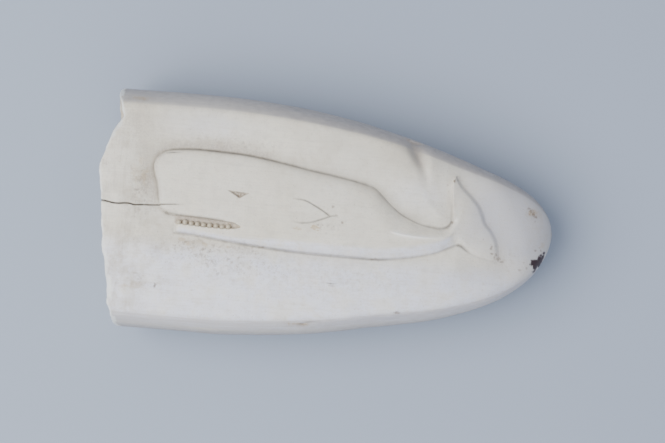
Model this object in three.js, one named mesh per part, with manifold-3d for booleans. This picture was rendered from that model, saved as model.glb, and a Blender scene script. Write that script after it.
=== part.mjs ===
// A sperm whale's tooth with a whale carved in low relief on its ground face.
// Millimetres. +X runs from the broken root to the tip, +Y across, +Z up with the carving on top.
// The tooth lies on a small flat, and the origin is the middle of its box, at the bottom.
import * as THREE from "three";
import { mergeVertices } from "three/addons/utils/BufferGeometryUtils.js";
import Module from "manifold-3d";

const wasm = await Module();
wasm.setup();

// Driving dimensions of the tooth
const toothTip = 65.8;            // x of the tip
const taperStart = -48;           // x where the sides begin to draw in
const rootHalfWidth = 34.7;
const upperHeight = 28;           // natural half height above the widest line
const lowerHeight = 17;           // the same below it
const widestLine = 16.6;          // z of the widest line at the root
const widestLineDrop = 2;         // how far that line sinks towards the tip
const upperTaper = 3.6;
const lowerTaper = 3.5;
const upperRoundness = 2.5;       // exponents of the section's rounded square
const lowerRoundness = 2.3;
const centreLine = [[-66, -0.3], [-20, -0.3], [20, -0.7], [36, -1.3], [50, -0.9], [60, 0.2], [66, 1.3]];

// The ground face, as shares of the upper height across the section
const faceLevel = 0.69;
const faceTilt = 0.045;
const faceCrown = 0.07;

// The broken root: where it ends along the upper rim, from the far side to the near side
const upperRootEdge = [
  [-34.8, -56.8], [-33.8, -58.3], [-31.6, -58.5], [-28.8, -60.1], [-22.4, -60.6], [-16.6, -61.7],
  [-14.6, -62.4], [-9.6, -62.8], [-4.5, -63.5], [0.5, -63.9], [5.5, -64.7], [9.4, -65.2], [12.4, -64.4],
  [16, -63.3], [19.4, -62.3], [21.6, -61.2], [24.2, -59.8], [26, -60.2], [28, -61.1], [30.6, -61.6],
  [32, -61.2], [34.4, -59.4],
];
const lowerRootMiddle = -62;      // the edge underneath is a plain slanting bow
const lowerRootSlant = 0.11;
const lowerRootBow = 0.0011;
const rootUnder = 2;              // heights between which one edge turns into the other
const rootOver = 17;
const rootBlend = 20;             // how far the ragged edge reaches into the sections
const rootDish = 2.5;             // how far the broken end sinks towards its middle

// The pulp cavity, a flat cone that opens at the root
const cavityMouth = -67;
const cavityDepth = 45;
const cavityHalfWidth = 26;
const cavityHalfHeight = 11;
const cavityHeight = 17.2;
const cavityTaper = 0.8;

// The carved whale, on the face: its upper and lower outline from the snout to the tail stock
const backLine = [
  [-49.9, 11], [-49.2, 13.3], [-47.6, 14.8], [-45.2, 15.6], [-38, 16.2], [-26, 15.9], [-19.7, 15.3],
  [-11.6, 14.1], [-5.8, 13.1], [-3, 12.7], [3.7, 11.7], [10, 10.5], [13, 9.5], [15.3, 7.6], [18.1, 5],
  [20.8, 3], [23.5, 1.7], [26.7, 0.6], [30, 0.1], [38, 0.2],
];
const lipLine = [
  [-49.9, 11], [-49.6, 8], [-49.1, 5], [-48.5, 1.5], [-47.6, -1], [-45, -2.2], [-42.7, -2.6],
  [-38.4, -2.8], [-33.7, -3], [-29, -3.3], [-26.2, -3.6], [-24, -4.5],
];
const bellyLine = [
  [-42.6, -7.5], [-36.6, -8], [-29, -8.8], [-17, -9.8], [-5, -10.4], [8, -10.5], [14.8, -10.4],
  [19.3, -9.9], [22.9, -9.3], [27.1, -8.4], [31.5, -7.1], [34.7, -5.6], [38, -4.3],
];
const jawLine = [[-42.6, -5.1], [-33.5, -5.45], [-26, -5.3], [-24, -4.8]];
const jawFront = -42.6;
const mouthCorner = -24;
const bodyEnd = 37.6;             // where the tail stock is buried in the tail
const bodyCrest = 0.6;            // height of the body above the face as it was ground
const groundDepth = 1.2;          // the cut-away ground beside the whale
const groundReach = 9;            // where the ground comes back up to the face
const wallDepth = 0.5;            // how far the body's edge stands into the ground
const reliefRoot = 2;             // how far a raised form is sunk below the ground
const headSquareness = 3.2;       // the body is blunt in section at the head, ridged at the tail stock
const stockSquareness = 1.25;
const headRidge = 0.5;            // where the crest lies, as a share from the belly to the back
const stockRidge = 0.53;
const stockBegins = -6;          // the body's section changes between these
const stockReached = 22;
const hollowDepth = 0.9;          // the scoop between the back and the upper fluke
const hollowMiddle = [27, 8];
const hollowReach = [8, 5];

// The tail: leading edges on the left, trailing edge on the right, by rows across the tooth
const tailRows = [
  [-7.9, 48.6, 50.1], [-7, 43.4, 50.1], [-5.8, 40.8, 49.9], [-4.4, 37.9, 49.7], [-2.3, 33, 49.1],
  [-0.4, 33, 48.1], [1.2, 33.6, 46.9], [2, 35.6, 46], [3, 35.5, 45.3], [4.4, 35.4, 44.8], [5.5, 35.3, 44.3],
  [7.7, 35, 43.1], [10.3, 34.8, 40.6], [12.3, 34.7, 38.4], [14, 34.9, 36.9], [15.2, 35.5, 36.1],
];
const tailCrest = 0.7;
const tailShares = [0, 0.1, 0.3, 0.55, 0.8, 1];      // across a row, and how high the tail is there
const tailRises = [0.75, 1, 0.72, 0.45, 0.25, 0];
const stockFrom = 4;              // rows at which the tail stock joins on the left
const stockTo = 6;

// Small carving
const jawToothCount = 14;
const jawToothRadius = 0.42;
const jawToothTaper = 0.7;
const jawToothSink = 0.35;        // how far a tooth's middle lies below the face
const firstJawTooth = -41.8;
const lastJawTooth = -26.4;
const eyeCorners = [[-28.4, 5.3], [-22.8, 5.1], [-25.4, 3.5]];
const eyeDepth = 0.9;
const flipperTop = { path: [[-9.4, 4.6], [-6.4, 4.3], [-3.4, 2.9], [0.9, 0.3]], width: 0.8, depth: 0.5 };
const flipperFoot = { path: [[-9, -1.9], [-4.4, -1.7], [-1.5, -0.7], [0.6, 0.4]], width: 0.7, depth: 0.4 };
const crack = {
  path: [[-40, 0.4], [-47, 0], [-54, -0.5], [-58.6, -1], [-61, -0.6], [-67, -0.4]], width: 0.8, depth: 0.9,
};
const crease = {
  path: [[27.2, 14], [26.2, 16.2], [24.4, 19.2], [22.4, 21.6], [20.8, 24.4]], width: 2.8, depth: 1.3,
};
const grooveRunOut = 0.4;         // share of a groove that fades in from its first point
const grooveClearance = 0.6;      // how far a cutter stands above the surface it cuts

// How finely the surfaces are divided
const faceSteps = 24;
const upperArcSteps = 4;
const lowerArcSteps = 8;
const sectionSteps = 40;
const sectionCrowding = 0.25;     // sections stand closer together towards the tip
const bodySteps = 46;
const bodyRibs = 10;
const cavityRings = 9;
const cavitySides = 26;

const ivory = new THREE.MeshStandardMaterial({ color: 0xd8d3c6, roughness: 0.42, metalness: 0 });

const clamp = THREE.MathUtils.clamp;
const lerp = THREE.MathUtils.lerp;
const smooth = THREE.MathUtils.smoothstep;

// A smooth line through a few points, read as a height over its first coordinate
function along(points, x) {
  const last = points.length - 1;
  if (x <= points[0][0]) return points[0][1];
  if (x >= points[last][0]) return points[last][1];
  const i = points.findIndex((point) => point[0] > x) - 1;
  const [x0, y0] = points[i];
  const [x1, y1] = points[i + 1];
  const slopeAt = (k) => {
    if (k === 0 || k === last) return 0;
    const before = (points[k][1] - points[k - 1][1]) / (points[k][0] - points[k - 1][0]);
    const after = (points[k + 1][1] - points[k][1]) / (points[k + 1][0] - points[k][0]);
    return before * after <= 0 ? 0 : (2 * before * after) / (before + after);
  };
  const step = x1 - x0;
  const first = i === 0 ? (y1 - y0) / step : slopeAt(i);
  const second = i + 1 === last ? (y1 - y0) / step : slopeAt(i + 1);
  const t = (x - x0) / step;
  const t2 = t * t;
  const t3 = t2 * t;
  return (2 * t3 - 3 * t2 + 1) * y0 + (t3 - 2 * t2 + t) * step * first
    + (3 * t2 - 2 * t3) * y1 + (t3 - t2) * step * second;
}

// The tooth's natural form, by how far x is along the taper
const taper = (x) => clamp((x - taperStart) / (toothTip - taperStart), 0, 1);
const halfWidth = (x) => rootHalfWidth * Math.sqrt(1 - taper(x) ** 2);
const middleY = (x) => along(centreLine, x);
const widestZ = (x) => widestLine - widestLineDrop * taper(x) ** 2;
const heightAbove = (x) => upperHeight * Math.sqrt(1 - taper(x) ** upperTaper);
const heightBelow = (x) => lowerHeight * Math.sqrt(1 - taper(x) ** lowerTaper);
const levelAt = (side) => faceLevel + faceTilt * side - faceCrown * side * side;

// The face meets the natural round where both have the same height, at one share of the width throughout
function faceCorner(sign) {
  let inner = 0.5;
  let outer = 1;
  for (let i = 0; i < 30; i += 1) {
    const side = (inner + outer) / 2;
    const natural = (1 - side ** upperRoundness) ** (1 / upperRoundness);
    if (natural > levelAt(sign * side)) inner = side;
    else outer = side;
  }
  return sign * inner;
}
const farCorner = faceCorner(1);
const nearCorner = faceCorner(-1);

// Height of the face before any carving
function groundFace(x, y) {
  const side = clamp((y - middleY(x)) / Math.max(halfWidth(x), 0.01), -1, 1);
  return widestZ(x) + heightAbove(x) * levelAt(side);
}

// The lower outline of the whale's body steps down from the lip to the jaw at the jaw's blunt front
const bodyBottom = (x) => (x < jawFront ? along(lipLine, x) : along(bellyLine, x));
const bodyTop = (x) => along(backLine, x);

// The whale's whole outline, to measure how far a point of the ground is from it
function whaleOutline() {
  const shares = Array.from({ length: bodySteps + 1 }, (_, i) => i / bodySteps);
  const stations = shares.map((share) => lerp(backLine[0][0], tailRows[stockTo + 1][1], share));
  const leftOf = ([y, left]) => [left, y];
  const rightOf = ([y, , right]) => [right, y];
  return [
    ...stations.map((x) => [x, bodyTop(x)]),
    ...tailRows.slice(stockTo + 1).map(leftOf),
    ...tailRows.map(rightOf).reverse(),
    ...tailRows.slice(0, stockFrom).map(leftOf),
    ...stations.reverse().map((x) => [x, bodyBottom(x)]),
  ];
}
const outline = whaleOutline();

function distanceToWhale(x, y) {
  let nearest = Infinity;
  let inside = false;
  outline.forEach(([ax, ay], i) => {
    const [bx, by] = outline[(i + 1) % outline.length];
    const length = (bx - ax) ** 2 + (by - ay) ** 2;
    const t = length ? clamp(((x - ax) * (bx - ax) + (y - ay) * (by - ay)) / length, 0, 1) : 0;
    nearest = Math.min(nearest, Math.hypot(x - lerp(ax, bx, t), y - lerp(ay, by, t)));
    if ((ay > y) !== (by > y) && x < ax + ((y - ay) / (by - ay)) * (bx - ax)) inside = !inside;
  });
  return inside ? 0 : nearest;
}

// The ground is cut away beside the whale, deepest between its back and the upper fluke
function carvedAway(x, y) {
  const beside = groundDepth * (1 - smooth(distanceToWhale(x, y), 0, groundReach));
  const offX = (x - hollowMiddle[0]) / hollowReach[0];
  const offY = (y - hollowMiddle[1]) / hollowReach[1];
  return beside + hollowDepth * Math.exp(-offX * offX - offY * offY);
}

// Where the root ends, for a point on a section's rim
function rootEdge(y, z) {
  const below = lowerRootMiddle - lowerRootSlant * y + lowerRootBow * y * y;
  return lerp(below, along(upperRootEdge, y), smooth(z, rootUnder, rootOver));
}

// One section of the tooth as [side, height] pairs: across the face, then round underneath and back
function sectionSides() {
  const sides = [];
  for (let i = 0; i < faceSteps; i += 1) sides.push(["face", lerp(nearCorner, farCorner, i / faceSteps)]);
  const cornerAngle = (corner) => Math.acos(Math.abs(corner) ** (upperRoundness / 2));
  const arc = (kind, from, to, steps) => {
    for (let i = 0; i < steps; i += 1) sides.push([kind, lerp(from, to, i / steps)]);
  };
  arc("upper", cornerAngle(farCorner), 0, upperArcSteps);
  arc("lower", 0, Math.PI, 2 * lowerArcSteps);
  arc("upper", Math.PI, Math.PI - cornerAngle(nearCorner), upperArcSteps);
  return sides;
}

function sectionPoint([kind, at], x) {
  const power = (value, exponent) => Math.sign(value) * Math.abs(value) ** exponent;
  const y = (side) => middleY(x) + halfWidth(x) * side;
  if (kind === "face") return [y(at), widestZ(x) + heightAbove(x) * levelAt(at)];
  const exponent = 2 / (kind === "upper" ? upperRoundness : lowerRoundness);
  const height = kind === "upper" ? heightAbove(x) : -heightBelow(x);
  return [y(power(Math.cos(at), exponent)), widestZ(x) + height * power(Math.sin(at), exponent)];
}

// Rings of points as a closed solid, drawn together on a point at each end
function solidFromRings(rings, first, last) {
  const points = [first, ...rings.flat(), last];
  const count = rings[0].length;
  const faces = [];
  const at = (ring, i) => 1 + ring * count + (i % count);
  for (let i = 0; i < count; i += 1) faces.push([0, at(0, i + 1), at(0, i)]);
  for (let ring = 0; ring + 1 < rings.length; ring += 1) {
    for (let i = 0; i < count; i += 1) {
      faces.push([at(ring, i), at(ring, i + 1), at(ring + 1, i + 1)]);
      faces.push([at(ring, i), at(ring + 1, i + 1), at(ring + 1, i)]);
    }
  }
  const end = rings.length - 1;
  for (let i = 0; i < count; i += 1) faces.push([points.length - 1, at(end, i), at(end, i + 1)]);
  return solid(new Float32Array(points.flat()), new Uint32Array(faces.flat()));
}

// A closed solid for joining and cutting, with its faces turned outwards
function solid(vertProperties, triVerts) {
  let volume = 0;
  const corner = (i) => new THREE.Vector3().fromArray(vertProperties, 3 * triVerts[i]);
  for (let i = 0; i < triVerts.length; i += 3) {
    volume += corner(i).dot(corner(i + 1).cross(corner(i + 2)));
  }
  if (volume < 0) triVerts.reverse();
  return new wasm.Manifold(new wasm.Mesh({ numProp: 3, vertProperties, triVerts }));
}

function solidFromGeometry(geometry) {
  const bare = geometry.clone();
  bare.deleteAttribute("normal");
  bare.deleteAttribute("uv");
  const merged = mergeVertices(bare);
  return solid(new Float32Array(merged.attributes.position.array), new Uint32Array(merged.index.array));
}

// The plain tooth: sections from the ragged root to the tip, with the face hollowed beside the whale
function toothBlank() {
  const sides = sectionSides();
  const rings = [];
  for (let i = 0; i < sectionSteps; i += 1) {
    const share = i / sectionSteps;
    const crowded = lerp(share, Math.sin((share * Math.PI) / 2), sectionCrowding);
    const evenX = lerp(lowerRootMiddle, toothTip, crowded);
    const nearRoot = Math.max(0, 1 - (evenX - lowerRootMiddle) / rootBlend);
    rings.push(sides.map((side) => {
      const x = evenX + nearRoot * (rootEdge(...sectionPoint(side, evenX)) - lowerRootMiddle);
      const [y, z] = sectionPoint(side, x);
      return [x, y, side[0] === "face" ? z - carvedAway(x, y) : z];
    }));
  }
  const rootMiddle = [lowerRootMiddle + rootDish, middleY(taperStart), cavityHeight];
  const tip = [toothTip, middleY(toothTip), widestZ(toothTip)];
  return solidFromRings(rings, rootMiddle, tip);
}

// Everything below the flat that the tooth lies on
function belowFlat() {
  const slab = new THREE.BoxGeometry(200, 100, 20);
  slab.translate(0, 0, -10);
  return solidFromGeometry(slab);
}

function pulpCavity() {
  const rings = [];
  for (let i = 0; i < cavityRings; i += 1) {
    const depth = (i / cavityRings) * cavityDepth;
    const size = (1 - depth / cavityDepth) ** cavityTaper;
    rings.push(Array.from({ length: cavitySides }, (_, k) => {
      const angle = (2 * Math.PI * k) / cavitySides;
      return [
        cavityMouth + depth,
        middleY(taperStart) + cavityHalfWidth * size * Math.cos(angle),
        cavityHeight + cavityHalfHeight * size * Math.sin(angle),
      ];
    }));
  }
  const middle = [middleY(taperStart), cavityHeight];
  return solidFromRings(rings, [cavityMouth, ...middle], [cavityMouth + cavityDepth, ...middle]);
}

// The mean of some points
function middleOf(points) {
  return points[0].map((_, k) => points.reduce((sum, point) => sum + point[k], 0) / points.length);
}

// A loft through rings, closed flat at both ends
const loft = (rings) => solidFromRings(rings, middleOf(rings[0]), middleOf(rings[rings.length - 1]));

// A raised form with a flat underside sunk in the face: rows of [x, y, height above the face]
function reliefFromRows(rows) {
  return loft(rows.map((row) => {
    const top = row.map(([x, y, rise]) => [x, y, groundFace(x, y) + rise]);
    const ends = [row[row.length - 1], row[0]];
    return [...top, ...ends.map(([x, y]) => [x, y, groundFace(x, y) - groundDepth - reliefRoot])];
  }));
}

// Rise of the body above the face across one station: blunt at the head, a ridge on the tail stock
function bodyRise(x, across) {
  const towardsTail = smooth(x, stockBegins, stockReached);
  const squareness = lerp(headSquareness, stockSquareness, towardsTail);
  const ridge = lerp(headRidge, stockRidge, towardsTail);
  const off = across < ridge ? 1 - across / ridge : (across - ridge) / (1 - ridge);
  const arch = (1 - off ** squareness) ** (1 / squareness);
  return lerp(-groundDepth - wallDepth, bodyCrest, arch);
}

// Stations stand closest together at the rounded snout, with two for the step at the jaw's front
function whaleBody() {
  const snout = backLine[0][0] + 0.05;
  const snoutCrowding = 1.35;
  const stations = [jawFront - 0.06, jawFront];
  for (let i = 0; i <= bodySteps; i += 1) {
    stations.push(lerp(snout, bodyEnd, (i / bodySteps) ** snoutCrowding));
  }
  stations.sort((a, b) => a - b);
  const rows = stations.map((x) => Array.from({ length: bodyRibs + 1 }, (_, k) => {
    const across = 0.5 - 0.5 * Math.cos((Math.PI * k) / bodyRibs);
    return [x, lerp(bodyBottom(x), bodyTop(x), across), bodyRise(x, across)];
  }));
  return reliefFromRows(rows);
}

// The flukes stand high at their leading edges and fall away to the trailing edge
function whaleTail() {
  return reliefFromRows(tailRows.map(([y, left, right]) => tailShares.map((share, k) => (
    [lerp(left, right, share), y, lerp(-groundDepth - 0.2, tailCrest, tailRises[k])]
  ))));
}

// The open mouth: a wedge between the lip and the jaw, cut down to the ground
function mouth() {
  const steps = 8;
  const front = jawFront - 1;
  const clear = 3;
  const floor = 0.1 - groundDepth;
  return loft(Array.from({ length: steps + 1 }, (_, i) => {
    const x = lerp(front, mouthCorner, i / steps);
    const lip = along(lipLine, x) + 0.01;
    const jaw = Math.min(along(jawLine, x), lip - 0.1);
    const corner = (y, rise) => [x, y, groundFace(x, y) + rise];
    return [corner(jaw, clear), corner(lip, clear), corner(lip, floor), corner(jaw, floor)];
  }));
}

// One peg tooth, standing from the jaw to the lip and half sunk in the ground
function jawTooth(index) {
  const x = lerp(firstJawTooth, lastJawTooth, index / (jawToothCount - 1));
  const foot = along(jawLine, x) - 0.3;
  const head = along(lipLine, x) - 0.05;
  const peg = new THREE.CylinderGeometry(jawToothRadius * jawToothTaper, jawToothRadius, head - foot, 6);
  peg.translate(x, (head + foot) / 2, groundFace(x, foot) - jawToothSink);
  return solidFromGeometry(peg);
}

// A three-cornered nick, deepest in its middle
function eye() {
  const surface = (x, y) => groundFace(x, y) + bodyCrest;
  const centre = middleOf(eyeCorners);
  const ring = (rise) => eyeCorners.map(([x, y]) => [x, y, surface(x, y) + rise]);
  const level = surface(...centre);
  return solidFromRings([ring(1.2), ring(0.2)], [...centre, level + 1.2], [...centre, level - eyeDepth]);
}

// A V groove along a path on a surface, fading in from its first point and full at its last
function groove({ path, width, depth }, surface) {
  const line = new THREE.CatmullRomCurve3(path.map(([x, y]) => new THREE.Vector3(x, y, 0)));
  const steps = path.length * 2;
  return loft(Array.from({ length: steps + 1 }, (_, i) => {
    const { x, y } = line.getPoint(i / steps);
    const heading = line.getTangent(i / steps);
    const size = smooth(i / steps, -0.1, grooveRunOut);
    const wide = (width * size + (width * grooveClearance) / depth) / 2;
    const z = surface(x, y);
    return [
      [x - heading.y * wide, y + heading.x * wide, z + grooveClearance],
      [x, y, z - depth * size],
      [x + heading.y * wide, y - heading.x * wide, z + grooveClearance],
    ];
  }));
}

const bodySurface = (x, y) => groundFace(x, y) + bodyCrest;
const groundSurface = (x, y) => groundFace(x, y) - carvedAway(x, y);

// The crack climbs from the ground over the snout onto the head
const snoutRise = [-49.6, -48];
const headSurface = (x, y) => lerp(groundSurface(x, y), bodySurface(x, y), smooth(x, ...snoutRise));

function scrimshawTooth() {
  let carved = toothBlank().add(whaleBody()).add(whaleTail()).subtract(mouth());
  for (let i = 0; i < jawToothCount; i += 1) carved = carved.add(jawTooth(i));
  return carved
    .subtract(eye())
    .subtract(groove(flipperTop, bodySurface))
    .subtract(groove(flipperFoot, bodySurface))
    .subtract(groove(crack, headSurface))
    .subtract(groove(crease, groundSurface))
    .subtract(pulpCavity())
    .subtract(belowFlat());
}

// The finished solid as a mesh, moved so that the middle of its box stands over the origin
function meshFrom(body) {
  const { vertProperties, triVerts } = body.getMesh();
  const geometry = new THREE.BufferGeometry();
  geometry.setAttribute("position", new THREE.BufferAttribute(new Float32Array(vertProperties), 3));
  geometry.setIndex(new THREE.BufferAttribute(new Uint32Array(triVerts), 1));
  geometry.computeBoundingBox();
  const middle = geometry.boundingBox.getCenter(new THREE.Vector3());
  geometry.translate(-middle.x, -middle.y, -geometry.boundingBox.min.z);
  geometry.computeVertexNormals();
  return new THREE.Mesh(geometry, ivory);
}

const tooth = meshFrom(scrimshawTooth());
tooth.name = "scrimshaw_tooth";
const ornament = new THREE.Group();
ornament.add(tooth);

export default ornament;
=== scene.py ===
import math

import bmesh
import bpy
import numpy as np
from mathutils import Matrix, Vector, noise
from mathutils.geometry import delaunay_2d_cdt


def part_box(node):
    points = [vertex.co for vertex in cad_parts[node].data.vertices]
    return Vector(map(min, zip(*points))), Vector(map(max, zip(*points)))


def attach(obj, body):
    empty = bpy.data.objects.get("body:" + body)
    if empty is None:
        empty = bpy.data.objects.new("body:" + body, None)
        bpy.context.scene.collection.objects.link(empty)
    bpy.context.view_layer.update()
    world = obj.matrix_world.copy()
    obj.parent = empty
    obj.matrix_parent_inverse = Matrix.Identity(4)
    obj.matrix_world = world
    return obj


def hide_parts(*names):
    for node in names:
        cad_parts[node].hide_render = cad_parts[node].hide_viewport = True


# Scrimshaw tooth: a sperm whale's tooth, ground flat on one side, with a whale cut in low relief.
# All drawing is in millimetres on the tooth's own axes and is moved into the frame at the end.
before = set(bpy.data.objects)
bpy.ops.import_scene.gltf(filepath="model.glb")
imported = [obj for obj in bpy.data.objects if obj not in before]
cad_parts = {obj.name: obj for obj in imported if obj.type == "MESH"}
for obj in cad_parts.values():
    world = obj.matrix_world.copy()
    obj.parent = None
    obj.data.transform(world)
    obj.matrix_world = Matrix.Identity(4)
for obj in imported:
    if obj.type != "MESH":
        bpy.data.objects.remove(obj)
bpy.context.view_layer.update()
toothNode = "scrimshaw_tooth"
lowCorner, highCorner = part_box(toothNode)
mm = 0.001

tooth = {
    "tipX": 65.8,
    "taperStart": -48.0,       # where the sides begin to draw in
    "halfWidth": 34.7,
    "upperHeight": 28.0,       # natural half height above the widest line
    "lowerHeight": 17.0,
    "widestZ": 16.6,
    "widestDrop": 2.0,
    "upperTaper": 3.6,
    "lowerTaper": 3.5,
    "upperRoundness": 2.5,
    "lowerRoundness": 2.3,
    "centreLine": [(-66, -0.3), (-20, -0.3), (20, -0.7), (36, -1.3), (50, -0.9), (60, 0.2), (66, 1.3)],
    "faceLevel": 0.69,         # the ground face, as shares of the upper height
    "faceTilt": 0.045,
    "faceCrown": 0.07,
    "farRimSoftness": [(-66, 1.5), (-20, 1.2), (14, 1.4), (32, 5.0), (66, 4.2)],   # rounding, as mm of height
    "nearRimSoftness": [(-66, 2.2), (22, 2.2), (52, 3.6), (66, 4.2)],
    # how far each long side lies off the even form, in mm
    "farDrawIn": [(-70, 0.8), (-45, 0.4), (-18, 0), (6, 0.1), (24, 0.3), (40, 0.3), (52, -0.25), (59, -0.5),
                  (65.8, 0)],
    "nearPushOut": [(-70, 0), (-50, 0.2), (-40, 0.3), (-27, 0.65), (-14, 0.65), (-2, 0.6), (8, 0.3), (15, 0),
                    (28, 0.1), (40, 0.4), (48, 0.8), (59, 0.9), (65.8, 0)],
    "ripple": 0.12,            # unevenness of the natural surface
    "middleY": -0.3,           # middle of the box on the drawing's own axes
}
drawingOrigin = Vector((highCorner.x - tooth["tipX"] * mm, (lowCorner.y + highCorner.y) / 2, lowCorner.z))
drawingOrigin.y -= tooth["middleY"] * mm

root = {
    "upperEdge": [(-35.2, -57.9), (-34, -58.8), (-31.6, -59), (-30.2, -59.4), (-28.8, -60.1), (-25, -60.3),
                  (-22.4, -60.6), (-20.2, -61.1), (-16.6, -61.7), (-14.6, -62.4), (-9.6, -62.8),
                  (-4.5, -63.5), (0.5, -63.9), (5.5, -64.7), (9.4, -65.2), (12.4, -64.4), (16, -63.3),
                  (19.4, -62.3), (21.6, -61.2), (24.2, -59.7), (26, -60.2), (28.7, -61), (30.8, -61.9),
                  (32.1, -62.1), (33.3, -61.8), (33.8, -60.7), (34.4, -60)],
    "wornCorner": (-62, -28.2, -51, -31.9),
    "wornSlope": 0.6,
    "lowerMiddle": -62.0,
    "lowerSlant": 0.11,
    "lowerBow": 0.0011,
    "under": 2.0,              # heights between which the lower edge turns into the upper one
    "over": 17.0,
    "chips": 0.22,             # size of the small breaks along the edge
    "bevel": 1.3,              # how far broken facets reach in from the edge, and how deep they are
    "bevelDepth": 0.55,
    "endRings": 20,            # from the edge to the cavity's mouth
    "ringSpread": 1.15,
    "endRoughness": 0.6,
    "cavityHalfWidth": 26.0,   # the pulp cavity, a flat cone that opens at the root
    "cavityHalfHeight": 11.0,
    "cavityZ": 17.2,
    "cavityMouthX": -67.0,
    "cavityDepth": 45.0,
    "cavityTaper": 0.8,
    "cavityRings": 16,
}

whale = {
    "back": [(-49.9, 11), (-49.2, 13.3), (-47.6, 14.8), (-45.2, 15.6), (-38, 16.2), (-26, 15.9),
             (-19.7, 15.3), (-11.6, 14.1), (-5.8, 13.1), (-3, 12.7), (3.7, 11.7), (10, 10.5), (13, 9.5),
             (15.3, 7.6), (18.1, 5), (20.8, 3), (23.5, 1.7), (26.7, 0.6), (30, 0.1), (32.8, 0.05),
             (34.6, 0.9), (35.8, 2.8), (38, 8)],
    "lip": [(-49.9, 11), (-49.5, 8.5), (-48.8, 6.5), (-48.2, 4), (-47.8, 1.5), (-47.2, -0.6), (-46.3, -1.6),
            (-45, -2.3), (-42.7, -2.6), (-38.4, -2.8), (-33.7, -3), (-29, -3.3), (-26.2, -3.6), (-24, -4.5)],
    "belly": [(-42.6, -7.5), (-36.6, -8), (-29, -8.8), (-17, -9.8), (-5, -10.4), (8, -10.5), (14.8, -10.4),
              (19.3, -9.9), (22.9, -9.3), (27.1, -8.4), (31.5, -7.1), (34.7, -5.6), (38, -4.3)],
    "jaw": [(-42.6, -5.1), (-38.2, -5.25), (-33.5, -5.45), (-28.8, -5.45), (-26, -5.3), (-24, -4.8)],
    "jawFront": -42.6,
    "jawNose": 1.6,            # length over which the jaw's end rounds down
    "mouthCorner": -24.0,
    "bodyEnd": 37.6,
    "crest": 0.6,              # body height above the face as it was ground
    "headSquareness": 5.0,     # blunt across the head, ridged along the tail stock
    "trunkSquareness": 2.6,
    "stockSquareness": 1.12,
    "headRidge": 0.5,
    "stockRidge": 0.53,
    "groundDepth": 1.2,
    "groundReach": 9.0,
    "wallDepth": 0.5,
    "hollow": {"depth": 0.9, "x": 27.0, "y": 8.0, "reachX": 8.0, "reachY": 5.0},
    "saddle": {"share": 0.95, "height": 1.3, "x": 39.5, "y": 0.8, "reachX": 4.2, "reachY": 3.8},
    # across the flukes: y, and x where the row starts and ends
    "tailRows": [(-7.9, 48.6, 50.1), (-7, 43.4, 50.1), (-5.8, 40.8, 49.9), (-4.4, 37.9, 49.7),
                 (-2.3, 34.4, 49.1), (-0.4, 34, 48.1), (1.2, 35, 46.9), (2, 35.6, 46), (3, 35.5, 45.3),
                 (4.4, 35.4, 44.8), (5.5, 35.3, 44.3), (7.7, 35, 43.1), (10.3, 34.8, 40.6),
                 (12.3, 34.7, 38.4), (14, 34.9, 36.9), (15.2, 35.5, 36.1)],
    "tailShares": [0, 0.08, 0.25, 0.55, 0.85, 1],
    "tailHeights": [1.2, 1.35, 1.25, 1.0, 0.7, 0.5],
    "middleHeights": [0, 0.35, 0.85, 0.85, 0.62, 0.5],      # between the flukes
}

detail = {                     # distances between the mesh's points, in mm
    "sides": 1.15,
    "face": 0.56,
    "carving": 0.28,
    "teeth": 0.14,
    "eye": 0.182,
    "crease": 0.33,
    "spots": 0.22,
    "tip": 0.6,
    "alongLines": 0.34,
    "besideLines": (-0.62, -0.42, -0.26, -0.13, -0.04, 0.04, 0.13, 0.26, 0.42, 0.62),
    "seam": 1.3,
    "rim": 0.5,
}


def smooth(value, low, high):
    t = np.clip((value - low) / (high - low), 0, 1)
    return t * t * (3 - 2 * t)


def mix(a, b, t):
    return a + (b - a) * t


# A smooth line through a few points, read as a height over its first coordinate
def along(points, x):
    px, py = np.array(points, float).T
    step = np.diff(px)
    rise = np.diff(py) / step
    product = rise[:-1] * rise[1:]
    inner = np.where(product > 0, 2 * product / np.where(product > 0, rise[:-1] + rise[1:], 1), 0)
    slope = np.concatenate([rise[:1], inner, rise[-1:]])
    x = np.asarray(x, float)
    at = np.clip(np.searchsorted(px, x, side="right") - 1, 0, len(px) - 2)
    t = np.clip((x - px[at]) / step[at], 0, 1)
    first = (2 * t**3 - 3 * t**2 + 1) * py[at] + (t**3 - 2 * t**2 + t) * step[at] * slope[at]
    return first + (3 * t**2 - 2 * t**3) * py[at + 1] + (t**3 - t**2) * step[at] * slope[at + 1]


# A smooth path through a few points in the plane, with even steps
def smoothPath(points, spacing):
    p = np.array(points, float)
    p = np.vstack([2 * p[0] - p[1], p, 2 * p[-1] - p[-2]])
    fine = []
    for i in range(1, len(p) - 2):
        t = np.linspace(0, 1, 24, endpoint=False)[:, None]
        a, b, c, d = p[i - 1], p[i], p[i + 1], p[i + 2]
        curve = 2 * b + (c - a) * t + (2 * a - 5 * b + 4 * c - d) * t**2 + (3 * b - a - 3 * c + d) * t**3
        fine.append(0.5 * curve)
    return evenSteps(np.vstack([*fine, p[-2:-1]]), spacing)


def evenSteps(path, spacing):
    run = np.concatenate([[0], np.cumsum(np.hypot(*np.diff(path, axis=0).T))])
    stops = np.linspace(0, run[-1], max(2, int(round(run[-1] / spacing)) + 1))
    return np.stack([np.interp(stops, run, path[:, 0]), np.interp(stops, run, path[:, 1])], 1)


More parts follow.
